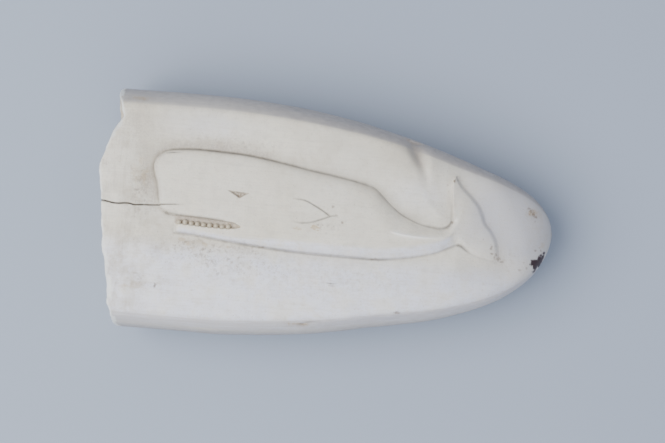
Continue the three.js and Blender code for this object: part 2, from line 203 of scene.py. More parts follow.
# Distance from each point to a path
def distanceTo(path, x, y):
    a, b = path[:-1], path[1:]
    run = b - a
    length = np.maximum((run**2).sum(1), 1e-12)
    nearest = np.full(len(x), 1e9)
    for start in range(0, len(x), 4000):
        px, py = x[start:start + 4000, None], y[start:start + 4000, None]
        t = np.clip(((px - a[:, 0]) * run[:, 0] + (py - a[:, 1]) * run[:, 1]) / length, 0, 1)
        away = (px - a[:, 0] - t * run[:, 0]) ** 2 + (py - a[:, 1] - t * run[:, 1]) ** 2
        nearest[start:start + 4000] = np.sqrt(away.min(1))
    return nearest


def insideOf(path, x, y):
    inside = np.zeros(len(x), bool)
    for (ax, ay), (bx, by) in zip(path, np.roll(path, -1, axis=0)):
        if ay != by:
            crossing = (ay > y) != (by > y)
            inside ^= crossing & (x < ax + (y - ay) / (by - ay) * (bx - ax))
    return inside


# The tooth's natural form
def taper(x):
    return np.clip((x - tooth["taperStart"]) / (tooth["tipX"] - tooth["taperStart"]), 0, 1)


def halfWidth(x):
    change = along(tooth["nearPushOut"], x) - along(tooth["farDrawIn"], x)
    return np.maximum(tooth["halfWidth"] * np.sqrt(1 - taper(x) ** 2) + change / 2, 0)


def middleY(x):
    return along(tooth["centreLine"], x) - (along(tooth["farDrawIn"], x) + along(tooth["nearPushOut"], x)) / 2


def widestZ(x):
    return tooth["widestZ"] - tooth["widestDrop"] * taper(x) ** 2


def heightAbove(x):
    return tooth["upperHeight"] * np.sqrt(1 - taper(x) ** tooth["upperTaper"])


def heightBelow(x):
    return tooth["lowerHeight"] * np.sqrt(1 - taper(x) ** tooth["lowerTaper"])


def levelAt(side):
    return tooth["faceLevel"] + tooth["faceTilt"] * side - tooth["faceCrown"] * side * side


def naturalAt(side):
    return (1 - np.clip(np.abs(side), 0, 1) ** tooth["upperRoundness"]) ** (1 / tooth["upperRoundness"])


# Where the ground face meets the natural round, as a share of the half width
def faceCorner(sign):
    inner, outer = 0.5, 1.0
    for _ in range(30):
        side = (inner + outer) / 2
        if naturalAt(side) > levelAt(sign * side):
            inner = side
        else:
            outer = side
    return inner


farCorner, nearCorner = faceCorner(1), faceCorner(-1)


def sideOf(x, y):
    return np.clip((y - middleY(x)) / np.maximum(halfWidth(x), 0.01), -1, 1)


def faceHeight(x, y):
    return widestZ(x) + heightAbove(x) * levelAt(sideOf(x, y))


# The angle round the section at each share of the way from a rim down to the middle underneath
def sideAngles(corner):
    start = math.acos(corner ** (tooth["upperRoundness"] / 2))
    angle = np.linspace(start, -math.pi / 2, 400)
    y, z = roundSection(angle, tooth["halfWidth"], tooth["upperHeight"], tooth["lowerHeight"])
    run = np.concatenate([[0], np.cumsum(np.hypot(np.diff(y), np.diff(z)))])
    return run / run[-1], angle


def roundSection(angle, width, above, below):
    upper = angle > 0
    power = np.where(upper, 2 / tooth["upperRoundness"], 2 / tooth["lowerRoundness"])
    y = width * np.abs(np.cos(angle)) ** power
    z = np.where(upper, above, -below) * np.abs(np.sin(angle)) ** power
    return y, z


farAngles, nearAngles = sideAngles(farCorner), sideAngles(nearCorner)
stations = tooth["tipX"] - np.linspace(math.sqrt(tooth["tipX"] + 70), 0, 500) ** 2
profileRun = np.concatenate([[0], np.cumsum(np.hypot(np.diff(stations), np.diff(halfWidth(stations))))])


def sideLength(table):
    share, angle = table
    y, z = roundSection(angle[None, :], halfWidth(stations)[:, None], heightAbove(stations)[:, None],
                        heightBelow(stations)[:, None])
    return np.hypot(np.diff(y, axis=1), np.diff(z, axis=1)).sum(1)


farLengths, nearLengths = sideLength(farAngles), sideLength(nearAngles)


# The surface is drawn unrolled: u is the way along the tooth's profile, q is y on the face and goes on
# down each side by its length, so that both ends of a row meet in the middle underneath
def uOf(x):
    return np.interp(x, stations, profileRun)


def xOf(u):
    return np.interp(u, profileRun, stations)


def rims(x):
    return middleY(x) - nearCorner * halfWidth(x), middleY(x) + farCorner * halfWidth(x)


def seams(x):
    near, far = rims(x)
    return near - np.interp(x, stations, nearLengths), far + np.interp(x, stations, farLengths)


def toothPoint(x, q):
    near, far = rims(x)
    y = np.clip(q, near, far)
    for past, length, table, sign in (
        (q - far, farLengths, farAngles, 1), (near - q, nearLengths, nearAngles, -1),
    ):
        share = np.clip(past / np.maximum(np.interp(x, stations, length), 1e-6), 0, 1)
        angle = np.interp(share, *table)
        width, height = roundSection(angle, halfWidth(x), heightAbove(x), heightBelow(x))
        onSide = past > 0
        y = np.where(onSide, middleY(x) + sign * width, y)
        if sign > 0:
            z = np.where(onSide, widestZ(x) + height, widestZ(x) + heightAbove(x) * naturalAt(sideOf(x, y)))
        else:
            z = np.where(onSide, widestZ(x) + height, z)
    return y, z


# The face cuts the natural round; each rim has its own softness
def cutByFace(x, y, z, q):
    softness = mix(along(tooth["nearRimSoftness"], x), along(tooth["farRimSoftness"], x), smooth(q, -5, 5))
    face = faceHeight(x, y) - cornerFacet(x, y)
    upper = z > widestZ(x) + 0.5
    overlap = np.maximum(softness - np.abs(face - z), 0)
    cut = np.minimum(face, z) - overlap**2 / (4 * softness)
    return np.where(upper, cut, z)


# The near corner of the root is worn off
def cornerFacet(x, y):
    ax, ay, bx, by = root["wornCorner"]
    length = math.hypot(bx - ax, by - ay)
    beyond = np.maximum(((y - ay) * (bx - ax) - (x - ax) * (by - ay)) / -length, 0)
    return root["wornSlope"] * beyond**2 / (beyond + 0.8)


def rootEdge(y, z):
    below = root["lowerMiddle"] - root["lowerSlant"] * y + root["lowerBow"] * y * y
    return mix(below, along(root["upperEdge"], y), smooth(z, root["under"], root["over"]))


# Small breaks along the edge of the root
def chip(position):
    coarse = noise.noise(Vector((position * 0.35, 3.1, 0)))
    fine = noise.noise(Vector((position * 1.3, 9.7, 0)))
    return root["chips"] * (coarse + 0.45 * fine)


# Carving, as heights above or below the ground face
def bodyBottom(x):
    return np.where(x < whale["jawFront"], along(whale["lip"], x), along(whale["belly"], x))


def bodyOutline():
    x = whale["bodyEnd"] - (whale["bodyEnd"] - whale["back"][0][0]) * np.linspace(1, 0, 240) ** 1.6
    top = np.stack([x, along(whale["back"], x)], 1)
    bottom = np.stack([x, bodyBottom(x)], 1)[::-1]
    return np.vstack([top, bottom])


def tailOutline():
    rows = np.array(whale["tailRows"], float)
    left = smoothPath([(row[1], row[0]) for row in rows], 0.3)
    right = smoothPath([(row[2], row[0]) for row in rows[::-1]], 0.3)
    return np.vstack([left, right])


bodyEdge, tailEdge = bodyOutline(), tailOutline()


def bodyRise(x, y, bottom):
    towardsTail = smooth(x, 2, 22)
    squareness = mix(whale["headSquareness"], whale["trunkSquareness"], smooth(x, -36, -6))
    squareness = mix(squareness, whale["stockSquareness"], towardsTail)
    ridge = mix(whale["headRidge"], whale["stockRidge"], towardsTail)
    across = np.clip((y - bottom) / np.maximum(along(whale["back"], x) - bottom, 1e-6), 0, 1)
    off = np.where(across < ridge, 1 - across / ridge, (across - ridge) / (1 - ridge))
    arch = np.clip(1 - off**squareness, 0, 1) ** (1 / squareness)
    return mix(-whale["groundDepth"] - whale["wallDepth"], whale["crest"], arch)


# The lip runs on over the jaw, and the jaw has a blunt rounded end of its own
def wholeBody(x, y):
    head = bodyRise(x, y, along(whale["lip"], x))
    full = bodyRise(x, y, along(whale["belly"], x))
    blend = smooth(x, whale["jawFront"] - 0.5, whale["jawFront"] + 6)
    above = mix(head, full, blend)
    nose = np.clip((x - whale["jawFront"]) / whale["jawNose"], 0, 1)
    jaw = mix(-whale["groundDepth"] - whale["wallDepth"], full, np.sqrt(1 - (1 - nose) ** 2))
    return np.where(y > along(whale["lip"], x), np.where(x < whale["mouthCorner"], above, full), jaw)


def mouthShare(x, y):
    lip, jaw = along(whale["lip"], x), along(whale["jaw"], x)
    inside = np.minimum(lip - y, y - jaw)
    front = smooth(x, whale["jawFront"] - 0.6, whale["jawFront"] + 0.2)
    return smooth(inside, -0.15, 0.3) * (x < whale["mouthCorner"]) * front


def tailRise(x, y, inside):
    rows = np.array(whale["tailRows"], float)
    left, right = np.interp(y, rows[:, 0], rows[:, 1]), np.interp(y, rows[:, 0], rows[:, 2])
    share = np.clip((x - left) / np.maximum(right - left, 0.3), 0, 1)
    upperFluke = np.interp(share, whale["tailShares"], whale["tailHeights"])
    middle = np.interp(share, whale["tailShares"], whale["middleHeights"])
    height = mix(middle, upperFluke, smooth(y, 1.8, 3.6))
    lower, trailing = smooth(y, -9, -1), smooth(share, 0.45, 0.7)
    wall = mix(1.3, mix(0.3, 1.3, trailing), lower)       # crisp in front, soft behind
    return height * mix(0.3, 1, lower) * smooth(inside, 0, wall) ** mix(0.5, 0.9, trailing)


def carve(x, y):
    face = faceHeight(x, y)
    bodyAway, tailAway = distanceTo(closed(bodyEdge), x, y), distanceTo(closed(tailEdge), x, y)
    inBody, inTail = insideOf(bodyEdge, x, y), insideOf(tailEdge, x, y)
    away = np.where(inBody | inTail, 0, np.minimum(bodyAway, tailAway))
    hollow = whale["hollow"]
    scoop = hollow["depth"] * np.exp(-((x - hollow["x"]) / hollow["reachX"]) ** 2
                                     - ((y - hollow["y"]) / hollow["reachY"]) ** 2)
    ground = -whale["groundDepth"] * (1 - smooth(away, 0, whale["groundReach"])) - scoop
    # the stock's ridge runs on into the tail and sinks away there
    inSpine = inBody | (inTail & (x > whale["bodyEnd"] - 0.1) & (x < 47))
    body = mix(wholeBody(x, y), ground, smooth(x, 33.5, 46.5))
    body = np.where(inSpine, np.maximum(body - ground, 0), 0)
    mouthFloor = -whale["groundDepth"] - 0.1 - ground
    body = mix(body, np.minimum(body, mouthFloor), mouthShare(x, y) * inBody)
    tail = np.where(inTail, tailRise(x, y, tailAway), 0)
    softness = np.clip(2 * np.minimum(body, tail), 0.001, 1.2)
    overlap = np.maximum(softness - np.abs(body - tail), 0)
    raisedBy = np.maximum(body, tail) + overlap**2 / (4 * softness)
    depth = np.maximum(np.where(inBody, bodyAway, 0), np.where(inTail, tailAway, 0))
    saddle = whale["saddle"]
    level = np.exp(-((x - saddle["x"]) / saddle["reachX"]) ** 4 - ((y - saddle["y"]) / saddle["reachY"]) ** 4)
    levelled = saddle["height"] - 0.09 * (x - 36) + 0.02 * y
    rise = ground + mix(raisedBy, levelled, saddle["share"] * level * smooth(depth, 0.3, 3))
    return rise, np.where(inBody, -bodyAway, bodyAway), np.where(inTail, -tailAway, tailAway)


def closed(path):
    return np.vstack([path, path[:1]])


# Places that need a finer mesh
def offsetRows(path, offsets):
    heading = np.gradient(path, axis=0)
    heading /= np.maximum(np.hypot(*heading.T), 1e-9)[:, None]
    across = np.stack([-heading[:, 1], heading[:, 0]], 1)
    return np.vstack([path + across * offset for offset in offsets])


def gridOver(lowX, highX, lowY, highY, spacing):
    rows = np.arange(lowY, highY, spacing * 0.866)
    points = []
    for i, y in enumerate(rows):
        x = np.arange(lowX + (i % 2) * spacing / 2, highX, spacing)
        points.append(np.stack([x, np.full(len(x), y)], 1))
    return np.vstack(points)


def lifted(points, by):
    return [(x, round(y + by, 3)) for x, y in points]


# Cut strokes: width and depth in mm, how dark the dirt and painted shade in them is, and paths with a weight
# at each point
strokes = {
    "OutlineStrokes": {"width": 0.44, "depth": 0.28, "dirtAndShade": 0.76, "paths": [
        (lifted(whale["back"][2:17], 0.05) + [(26.7, 0.6), (30, 0.05), (32.8, 0), (34.6, 0.7), (35.5, 2.2)],
         [0.4, 0.75, 1, 1, 1, 0.95, 0.9, 0.9, 0.85, 0.85, 0.7, 0.8, 0.8, 0.8, 0.8, 0.8, 0.85, 0.9, 1, 0.8]),
        ([(-42.6, -7.7)] + lifted(whale["belly"][1:12], -0.05) + [(37.3, -4.45)],
         [0.6, 0.6, 0.7, 0.9, 0.85, 0.9, 1, 0.8, 0.6, 0.6, 0.6, 0.7, 0.8]),
        ([(36.4, -4.75), (37.8, -4.35), (39.1, -4.75), (40.4, -5.7), (42.2, -6.6)],      # notch under the tail
         [0.7, 1.1, 1.2, 0.7, 0.05]),
        ([(-46.8, 15.1), (-48.4, 14.2), (-49.4, 12.9)] + whale["lip"][:7] + [(-45.1, -2.35), (-42.7, -2.7)]
         + lifted(whale["lip"][9:12], -0.05),
         [0.3, 0.3, 0.4, 0.6, 0.55, 0.65, 0.65, 0.6, 0.3, 0.35, 0.75, 0.6, 0.6, 0.7, 0.5]),
    ]},
    "SoftStrokes": {"width": 0.8, "depth": 0.2, "dirtAndShade": 0.36, "paths": [     # the edge's roll into the ground, darkened by dirt and painted shade
        ([(-46.8, 15.2), (-48.4, 14.3), (-49.5, 12.9), (-50, 11), (-49.65, 8.5), (-48.95, 6.5), (-48.35, 4),
          (-47.95, 1.5), (-47.3, -0.7), (-45.1, -2.35), (-42.7, -2.75)],
         [0.6, 0.8, 0.9, 1, 1, 0.9, 0.8, 0.7, 0.5, 0.7, 0.5]),
        ([(-42.4, -4.9), (-42.95, -5.6), (-42.95, -6.8), (-42.5, -7.7)], [0.4, 0.6, 0.7, 0.6]),
        ([(41.4, -6.2), (43.6, -7), (46.4, -7.6), (49.4, -8)], [0.3, 0.3, 0.25, 0.4]),
    ]},
    # painted shadow along the fluke's trailing edge, with a little dirt
    "TrailingStroke": {"width": 0.6, "depth": 0.08, "dirtAndShade": 0.22, "paths": [
        ([(36.1, 15), (38.4, 12.4), (40.6, 10.4), (43.1, 7.8), (44.4, 5.5), (45.3, 3), (46.9, 1.1),
          (48.2, -0.4), (49.2, -2.3), (49.8, -5), (50, -7.6)],
         [0.3, 0.5, 0.75, 0.85, 0.9, 1, 0.9, 0.8, 0.65, 0.55, 0.4]),
    ]},
    "LeadingStroke": {"width": 0.6, "depth": 0.2, "dirtAndShade": 0.5, "paths": [
        ([(35.5, 2.4), (35.4, 4.4), (35.15, 7.7), (34.9, 10.6)], [0.8, 0.6, 0.45, 0.2]),
    ]},
    "FineStrokes": {"width": 0.2, "depth": 0.15, "dirtAndShade": 1.0, "paths": [     # single scratches
        ([(-46.5, 14.5), (-44.5, 14.75), (-42.4, 14.95)], [0.6, 1, 0.2]),
        ([(1.5, -18.3), (2.6, -18.4), (4.1, -18.3)], [0.4, 1, 0.3]),
        ([(1.9, -18.95), (3, -19), (3.9, -18.9)], [0.2, 0.7, 0.2]),
        ([(0.9, 0.45), (2.2, 0.6), (3.6, 0.1)], [0.8, 0.5, 0.1]),
        ([(-46.9, -22.3), (-46.7, -23), (-46.9, -23.7)], [0.4, 0.9, 0.3]),
    ]},
    "CrestStroke": {"width": 0.6, "depth": -0.32, "dirtAndShade": 0, "paths": [      # raised, not cut
        ([(17.5, -2.2), (20.7, -2.8), (23.8, -3.1), (26.7, -3.2), (29.6, -3.1), (32.7, -2.8)],
         [0.05, 0.8, 1, 0.8, 0.5, 0.1]),
    ]},
    "FlipperStrokes": {"width": 0.28, "depth": 0.28, "dirtAndShade": 0.85, "paths": [
        ([(-9.8, 4.6), (-6.4, 4.3), (-3.4, 2.95), (-0.7, 1.5), (0.9, 0.4)], [0.25, 1, 1, 1, 0.8]),
        ([(0.9, 0.4), (-1.5, -0.65), (-4.4, -1.7), (-7.2, -2.1), (-9.4, -1.8)], [0.8, 0.8, 0.75, 0.6, 0.15]),
    ]},
    "CrackStrokes": {"width": 0.22, "depth": 0.9, "dirtAndShade": 1.5, "spacing": 0.5, "paths": [
        ([(-66.5, -0.25), (-64, -0.3), (-62.2, -0.45), (-60.6, -0.75), (-58.8, -0.8), (-57.4, -0.6),
          (-55.9, -0.55), (-54.4, -0.8), (-52, -0.6), (-49, -0.4), (-46, -0.1), (-43, 0.15), (-40.5, 0.25)],
         [1.3, 1.2, 1.1, 1.15, 1, 1.05, 1, 1.05, 0.9, 0.85, 0.7, 0.5, 0.1]),
    ]},
    "RimCrackStrokes": {"width": 0.3, "depth": 0.4, "dirtAndShade": 0.45, "paths": [
        ([(-9.4, -31.3), (-6.5, -30.8), (-4.6, -30.2), (-2, -29.6), (1, -29.3)], [0.15, 0.7, 1, 0.7, 0.2]),
    ]},
}
meshedStrokes = ("OutlineStrokes", "FlipperStrokes", "FineStrokes", "CrestStroke", "CrackStrokes",
                 "RimCrackStrokes")    # these have rows of points of their own in the mesh
crest = {"path": strokes["CrestStroke"]["paths"][0][0], "shine": 1.1, "reach": 0.48}     # a painted highlight along the tail stock's crest
eye = [(-28.7, 5.45), (-22.1, 5.05), (-25, 3.25)]
crease = {"path": [(20.9, 24.4), (22.5, 22.6), (24, 20.7), (25.4, 18.8), (26.7, 17), (27.9, 15), (28.9, 12.8)],
          "width": 2.5, "rightWidth": 5.6, "depth": 1.75, "bump": 0.1}
pegs = {"count": 9, "first": -41.5, "last": -27.5, "radius": 0.7, "length": 0.85, "sink": 0.62,
        "shortest": 0.5, "longest": 1.15, "seed": 5}
spots = [                      # dark specks: x, y, size along, size across, strength
    (-2.3, -2.3, 0.45, 0.3, 0.6), (1.4, 3.2, 0.45, 0.4, 0.7), (2.7, 0.8, 0.4, 0.25, 0.6),
    (4.4, -0.9, 0.45, 0.4, 0.8), (-17.7, -9.75, 1.3, 0.35, 0.75), (-26.7, -13.8, 0.5, 0.4, 0.5),
    (-29.4, -18.3, 0.45, 0.4, 0.45), (-46.7, -23, 0.35, 0.7, 0.6), (-39.2, -10, 0.6, 0.35, 0.5),
    (22, -24.9, 0.9, 0.45, 0.75), (-36.2, -23.4, 0.6, 0.3, 0.3), (57.7, 8.2, 0.6, 0.45, 0.6),
    (58.4, 7.5, 0.6, 0.5, 0.7), (59.1, 6.8, 0.6, 0.5, 0.8), (59.8, 6.1, 0.6, 0.5, 0.7),
    (59.9, 4.6, 0.3, 0.3, 0.5), (56.3, -9.6, 0.5, 0.35, 0.7), (-45.3, -2.3, 0.5, 0.35, 0.5),
    (-52.6, -20, 0.6, 0.3, 0.3), (49, -6.1, 0.4, 0.5, 0.6), (49.9, -6.9, 0.35, 0.4, 0.6),
    (50.8, -7.9, 0.5, 0.3, 0.6), (47.6, -3.9, 0.4, 0.3, 0.6), (47.4, -4.3, 0.45, 0.35, 0.7),
    (47.8, -5.9, 0.4, 0.35, 0.7), (45, -2.1, 0.3, 0.3, 0.5), (49.8, -7.2, 0.9, 0.6, 0.5),
    (60.6, -3.6, 0.4, 0.3, 0.6), (58.4, -8.9, 0.4, 0.3, 0.5), (57.4, -7.4, 0.3, 0.3, 0.4),
    (48.6, -6.9, 0.3, 0.3, 0.5), (35.15, 13.7, 0.3, 0.55, 0.95), (35.6, 1.9, 0.4, 0.35, 0.7),
    (14.5, -10.5, 2.6, 0.28, 0.6), (-54.5, 3.4, 0.35, 0.3, 0.4), (-53.4, 2.6, 0.3, 0.3, 0.45),
    (62.3, -3.2, 0.3, 0.4, 0.6), (-51.7, -21.6, 0.6, 0.3, 0.3), (-4.6, -30.3, 0.8, 0.3, 0.5),
    (33.5, 12.4, 0.25, 0.25, 0.3), (33.9, 10.8, 0.22, 0.25, 0.3), (33.8, 9, 0.22, 0.22, 0.3),
]
tanSpots = [                   # the same, in tan
    (-3.1, -3, 1.3, 0.7, 1), (-7.8, -3.8, 1.1, 0.5, 0.65), (-40.5, -9.4, 1.1, 0.5, 0.6),
    (-38.6, -10.3, 0.7, 0.6, 0.6), (-37.2, -11.6, 0.8, 0.4, 0.5), (-33.6, -10.4, 1.1, 0.5, 0.5),
    (-27.2, -10.6, 0.7, 0.5, 0.5), (58.8, 7.1, 1.5, 0.9, 0.6), (-55.2, 8.6, 1.1, 1.9, 0.35),
    (-52.3, 7.4, 0.8, 2.4, 0.45), (-53.6, 11.8, 0.8, 1.2, 0.3), (-54.6, -23.8, 2.4, 0.5, 0.35),
    (-11.5, -25.5, 0.4, 1.2, 0.3), (62.7, -1.8, 0.7, 1.2, 0.35), (-55, 29.6, 3, 0.45, 0.9),
    (-4.6, -30.4, 3.2, 0.4, 0.9),
]
tipStain = [                   # dark blot at the tip: x, y, radius
    (60.3, -7.2, 0.85), (61.4, -6.9, 1), (62.3, -6.2, 1), (63.1, -5, 0.65), (61, -8.3, 0.8),
    (62.5, -7.6, 0.7), (63.4, -3.9, 0.4), (61, -9.5, 0.35), (63, -7.9, 0.3),
]


def featurePaths():
    paths = []
    for name in meshedStrokes:
        paths += [smoothPath(path, detail["alongLines"]) for path, _ in strokes[name]["paths"]]
    rows = np.array(whale["tailRows"], float)
    paths.append(smoothPath([(row[1], row[0]) for row in rows if row[0] > 1.5], detail["alongLines"]))
    mouthX = np.arange(whale["jawFront"], whale["mouthCorner"], detail["alongLines"])
    for edge in ("lip", "jaw"):
        paths.append(np.stack([mouthX, along(whale[edge], mouthX)], 1))
    return paths


# Points on the face, the finest first; each grid keeps clear of what is already placed
def surfacePoints():
    marks = spots + tanSpots + tipStain
    outline = np.vstack([closed(bodyEdge)[::3], closed(tailEdge)[::2]])
    carving = gridOver(-54, 54, -14, 20, detail["carving"])
    aroundMarks = [gridOver(x - 1.3, x + 1.3, y - 1.1, y + 1.1, detail["spots"]) for x, y, *_ in marks]
    kept = np.vstack([offsetRows(path, detail["besideLines"]) for path in featurePaths()])
    for grid, gap in (
        (gridOver(-44, -23, -5.6, -2.2, detail["teeth"]), 0.1),
        (gridOver(-29.5, -21.8, 2.9, 6, detail["eye"]), 0.12),
        (gridOver(17, 29, 12.5, 26, detail["crease"]), 0.2),
        (np.vstack(aroundMarks), 0.14),
        (carving[nearestPoint(outline, carving) < 2.0], 0.17),
        (gridOver(-68, 66, -36, 36, detail["face"]), 0.34),
    ):
        kept = np.vstack([kept, clearOf(kept, grid, gap)])
    return kept


def clearOf(placed, grid, gap):
    return grid[nearestPoint(placed, grid) > gap]


# Distance to the nearest of some points, by sorting them into cells
def nearestPoint(points, query, cell=2.2):
    found = np.full(len(query), cell)
    keys = {}
    for i, key in enumerate(map(tuple, np.floor(points / cell).astype(int))):
        keys.setdefault(key, []).append(i)
    queryKeys = {}
    for i, key in enumerate(map(tuple, np.floor(query / cell).astype(int))):
        queryKeys.setdefault(key, []).append(i)
    for (kx, ky), members in queryKeys.items():
        around = [j for dx in (-1, 0, 1) for dy in (-1, 0, 1) for j in keys.get((kx + dx, ky + dy), ())]
        if around:
            away = ((query[members][:, None, :] - points[around][None, :, :]) ** 2).sum(2)
            found[members] = np.minimum(cell, np.sqrt(away.min(1)))
    return found


# Rows of points along both rims and behind the root's edge
def rimPoints(rootLoop, endU):
    rows = []
    for run in np.arange(float(uOf(-66)), endU - 3, detail["rim"]):
        near, far = rims(xOf(run))
        rows += [(run, far + offset) for offset in (-0.45, -0.22, 0, 0.22, 0.45)]
        rows += [(run, near + offset) for offset in (-0.9, -0.45, 0, 0.45, 0.9)]
    for inward in (0.3, 0.65, 1.05, 1.5, 2.0):
        rows += [(u + inward, v) for u, v in rootLoop[2:-2:1 if inward < 1 else 2]]
    return np.array(rows, float)


# Points inside the sheet: fine on the face and at the rims, coarser down the sides
def innerPoints(rootLoop, startU, endU):
    face = surfacePoints()
    near, far = rims(face[:, 0])
    face = face[(face[:, 1] > near - 2.5) & (face[:, 1] < far + 2.5) & (face[:, 0] < tooth["tipX"] - 1.2)]
    inner = np.stack([uOf(face[:, 0]), face[:, 1]], 1)
    rimRows = rimPoints(rootLoop, endU)
    inner = np.vstack([clearOf(rimRows, inner, 0.2), rimRows])
    rough = gridOver(startU - 8, endU - 0.4, -100, 100, detail["sides"])
    inner = np.vstack([inner, clearOf(inner, rough, detail["sides"] * 0.7)])
    inner = np.vstack([inner, clearOf(inner, gridOver(endU - 14, endU - 0.3, -26, 26, detail["tip"]), 0.36)])
    low, high = seams(xOf(inner[:, 0]))
    edgeHere = np.interp(inner[:, 1], rootLoop[:, 1], rootLoop[:, 0])
    return inner[(inner[:, 1] > low + 0.35) & (inner[:, 1] < high - 0.35) & (inner[:, 0] > edgeHere + 0.12)]


# The unrolled surface as a triangulated sheet, closed underneath along its seam
def unrolledSheet():
    lowSeam, highSeam = (float(q) for q in seams(np.array(-60.0)))
    count = int((highSeam - lowSeam) / 0.42)
    q = np.linspace(lowSeam, highSeam, count)
    y, z = toothPoint(np.full(count, -60.0), q)
    edgeX = rootEdge(y, z) + np.array([chip(value) for value in q]) * smooth(np.abs(q - middleSeam(q)), 0, 3)
    edgeX[-1] = edgeX[0]
    rootLoop = np.stack([uOf(edgeX), q], 1)
    startU, endU = float(rootLoop[0, 0]), float(profileRun[-1])
    seamU = np.linspace(startU, endU, int((endU - startU) / detail["seam"]))[1:-1]
    low, high = seams(xOf(seamU))
    loop = np.vstack([rootLoop, np.stack([seamU, high], 1), [[endU, float(middleY(tooth["tipX"]))]],
                      np.stack([seamU, low], 1)[::-1]])
    points = np.vstack([loop, innerPoints(rootLoop, startU, endU)]).tolist()
    border = list(range(len(loop)))[::-1]
    result = delaunay_2d_cdt([Vector(point) for point in points], [], [border], 1, 1e-6, True)
    sheet, faces, origins, sources = result[0], result[2], result[3], result[5]
    fromInput = {original: index for index, group in enumerate(origins) for original in group}
    merged = np.arange(len(sheet))
    for i in range(len(seamU)):                    # both ends of a row are one point underneath
        merged[fromInput[len(loop) - 1 - i]] = fromInput[count + i]
    merged[fromInput[0]] = fromInput[count - 1]
    kept = [tuple(int(merged[i]) for i in face) for face, source in zip(faces, sources) if source]
    return np.array([tuple(point) for point in sheet]), kept, [fromInput[i] for i in range(1, count)]


def middleSeam(q):
    return np.where(q > 0, q.max(), q.min())


def relief(x, y, z, q):
    near, far = rims(x)
    onFace = (q > near - 6) & (q < far + 6) & (z > widestZ(x) + 1)
    rise = np.zeros(len(x))
    bodyAway, tailAway = np.full(len(x), 99.0), np.full(len(x), 99.0)
    rise[onFace], bodyAway[onFace], tailAway[onFace] = carve(x[onFace], y[onFace])
    cut = cutByFace(x, y, z, q)
    fade = smooth(cut - widestZ(x), 2, 7)
    return cut + rise * fade, bodyAway, tailAway, onFace


def addCreaseAndEye(x, y, z, onFace):
    path = smoothPath(crease["path"], 0.4)
    run = np.clip((x - crease["path"][0][0]) / (crease["path"][-1][0] - crease["path"][0][0]), 0, 1)
    away = distanceTo(path, x, y)
    strength = smooth(1 - run, 0, 0.6) * smooth(run, -0.25, 0.3) * onFace
    pathX = np.interp(-y, -path[:, 1], path[:, 0])
    width = mix(crease["width"], crease["rightWidth"], smooth(x - pathX, -0.3, 0.8))
    valley = crease["depth"] * strength * np.exp(-(away / width) ** 2 * 2)
    bump = crease["bump"] * onFace * np.exp(-((x - 26.4) / 2.6) ** 2 - ((y - 21.2) / 1.7) ** 2)
    corners = np.array(eye, float)
    inEye = np.full(len(x), 9.0)
    for a, b in zip(corners, np.roll(corners, -1, axis=0)):
        run = (b - a) / np.hypot(*(b - a))
        inEye = np.minimum(inEye, run[1] * (x - a[0]) - run[0] * (y - a[1]))
    nick = 0.75 * smooth(inEye, -0.05, 0.55) * onFace
    # dirt and painted shade in the crease
    inCrease = strength * np.exp(-(away / 2.3) ** 2)
    return z - valley + bump - nick, smooth(inEye, -0.12, 0.3) * onFace, inCrease


# Broken end and pulp cavity: rings from the root's edge to the cavity's mouth and on to its bottom
def rootRings(edge):
    centre = np.array([float(middleY(np.array(-60.0))), root["cavityZ"]])
    angle = np.arctan2((edge[:, 2] - centre[1]) / root["cavityHalfHeight"],
                       (edge[:, 1] - centre[0]) / root["cavityHalfWidth"])
    rings = []
    kernel = np.hanning(45)
    wrapped = np.concatenate([edge[-22:, 0], edge[:, 0], edge[:22, 0]])
    softX = np.convolve(wrapped, kernel / kernel.sum(), "valid")
    mouthX = softX.mean() + 1.1 + 0.35 * (softX - softX.mean())

    def cavityRing(x):
        size = np.clip(1 - (x - root["cavityMouthX"]) / root["cavityDepth"], 0, 1) ** root["cavityTaper"]
        y = centre[0] + root["cavityHalfWidth"] * size * np.cos(angle)
        z = centre[1] + root["cavityHalfHeight"] * size * np.sin(angle)
        return np.stack([x, y, z], 1)

    mouth = cavityRing(mouthX)
    for i in range(1, root["endRings"] + 1):
        share = (i / root["endRings"]) ** root["ringSpread"]
        ring = mix(edge, mouth, share)
        ring[:, 0] = mix(mix(edge[:, 0], softX, float(smooth(share, 0, 0.22))), mouthX, share)
        for k in range(len(ring)):
            rough = noise.noise(Vector(ring[k]) * 0.3) + 0.5 * noise.noise(Vector(ring[k]) * 0.8)
            rough += 0.2 * noise.noise(Vector(ring[k]) * 2.2)
            ring[k, 0] += root["endRoughness"] * rough * math.sin(math.pi * min(1, share * 1.15))
        rings.append(ring)
    for i in range(1, root["cavityRings"] + 1):
        share = i / root["cavityRings"]
        bottomX = root["cavityMouthX"] + root["cavityDepth"] - 0.4
        ring = cavityRing(mix(mouthX, bottomX, share**0.85))
        for k in range(len(ring)):
            ring[k, 1:] += 0.25 * (1 - share) * noise.noise(Vector(ring[k]) * 0.25)
        rings.append(ring)
    tip = np.array([root["cavityMouthX"] + root["cavityDepth"], *centre])
    return rings, tip


def setAttribute(mesh, name, values):
    attribute = mesh.attributes.new(name, "FLOAT", "POINT")
    attribute.data.foreach_set("value", np.asarray(values, np.float32))


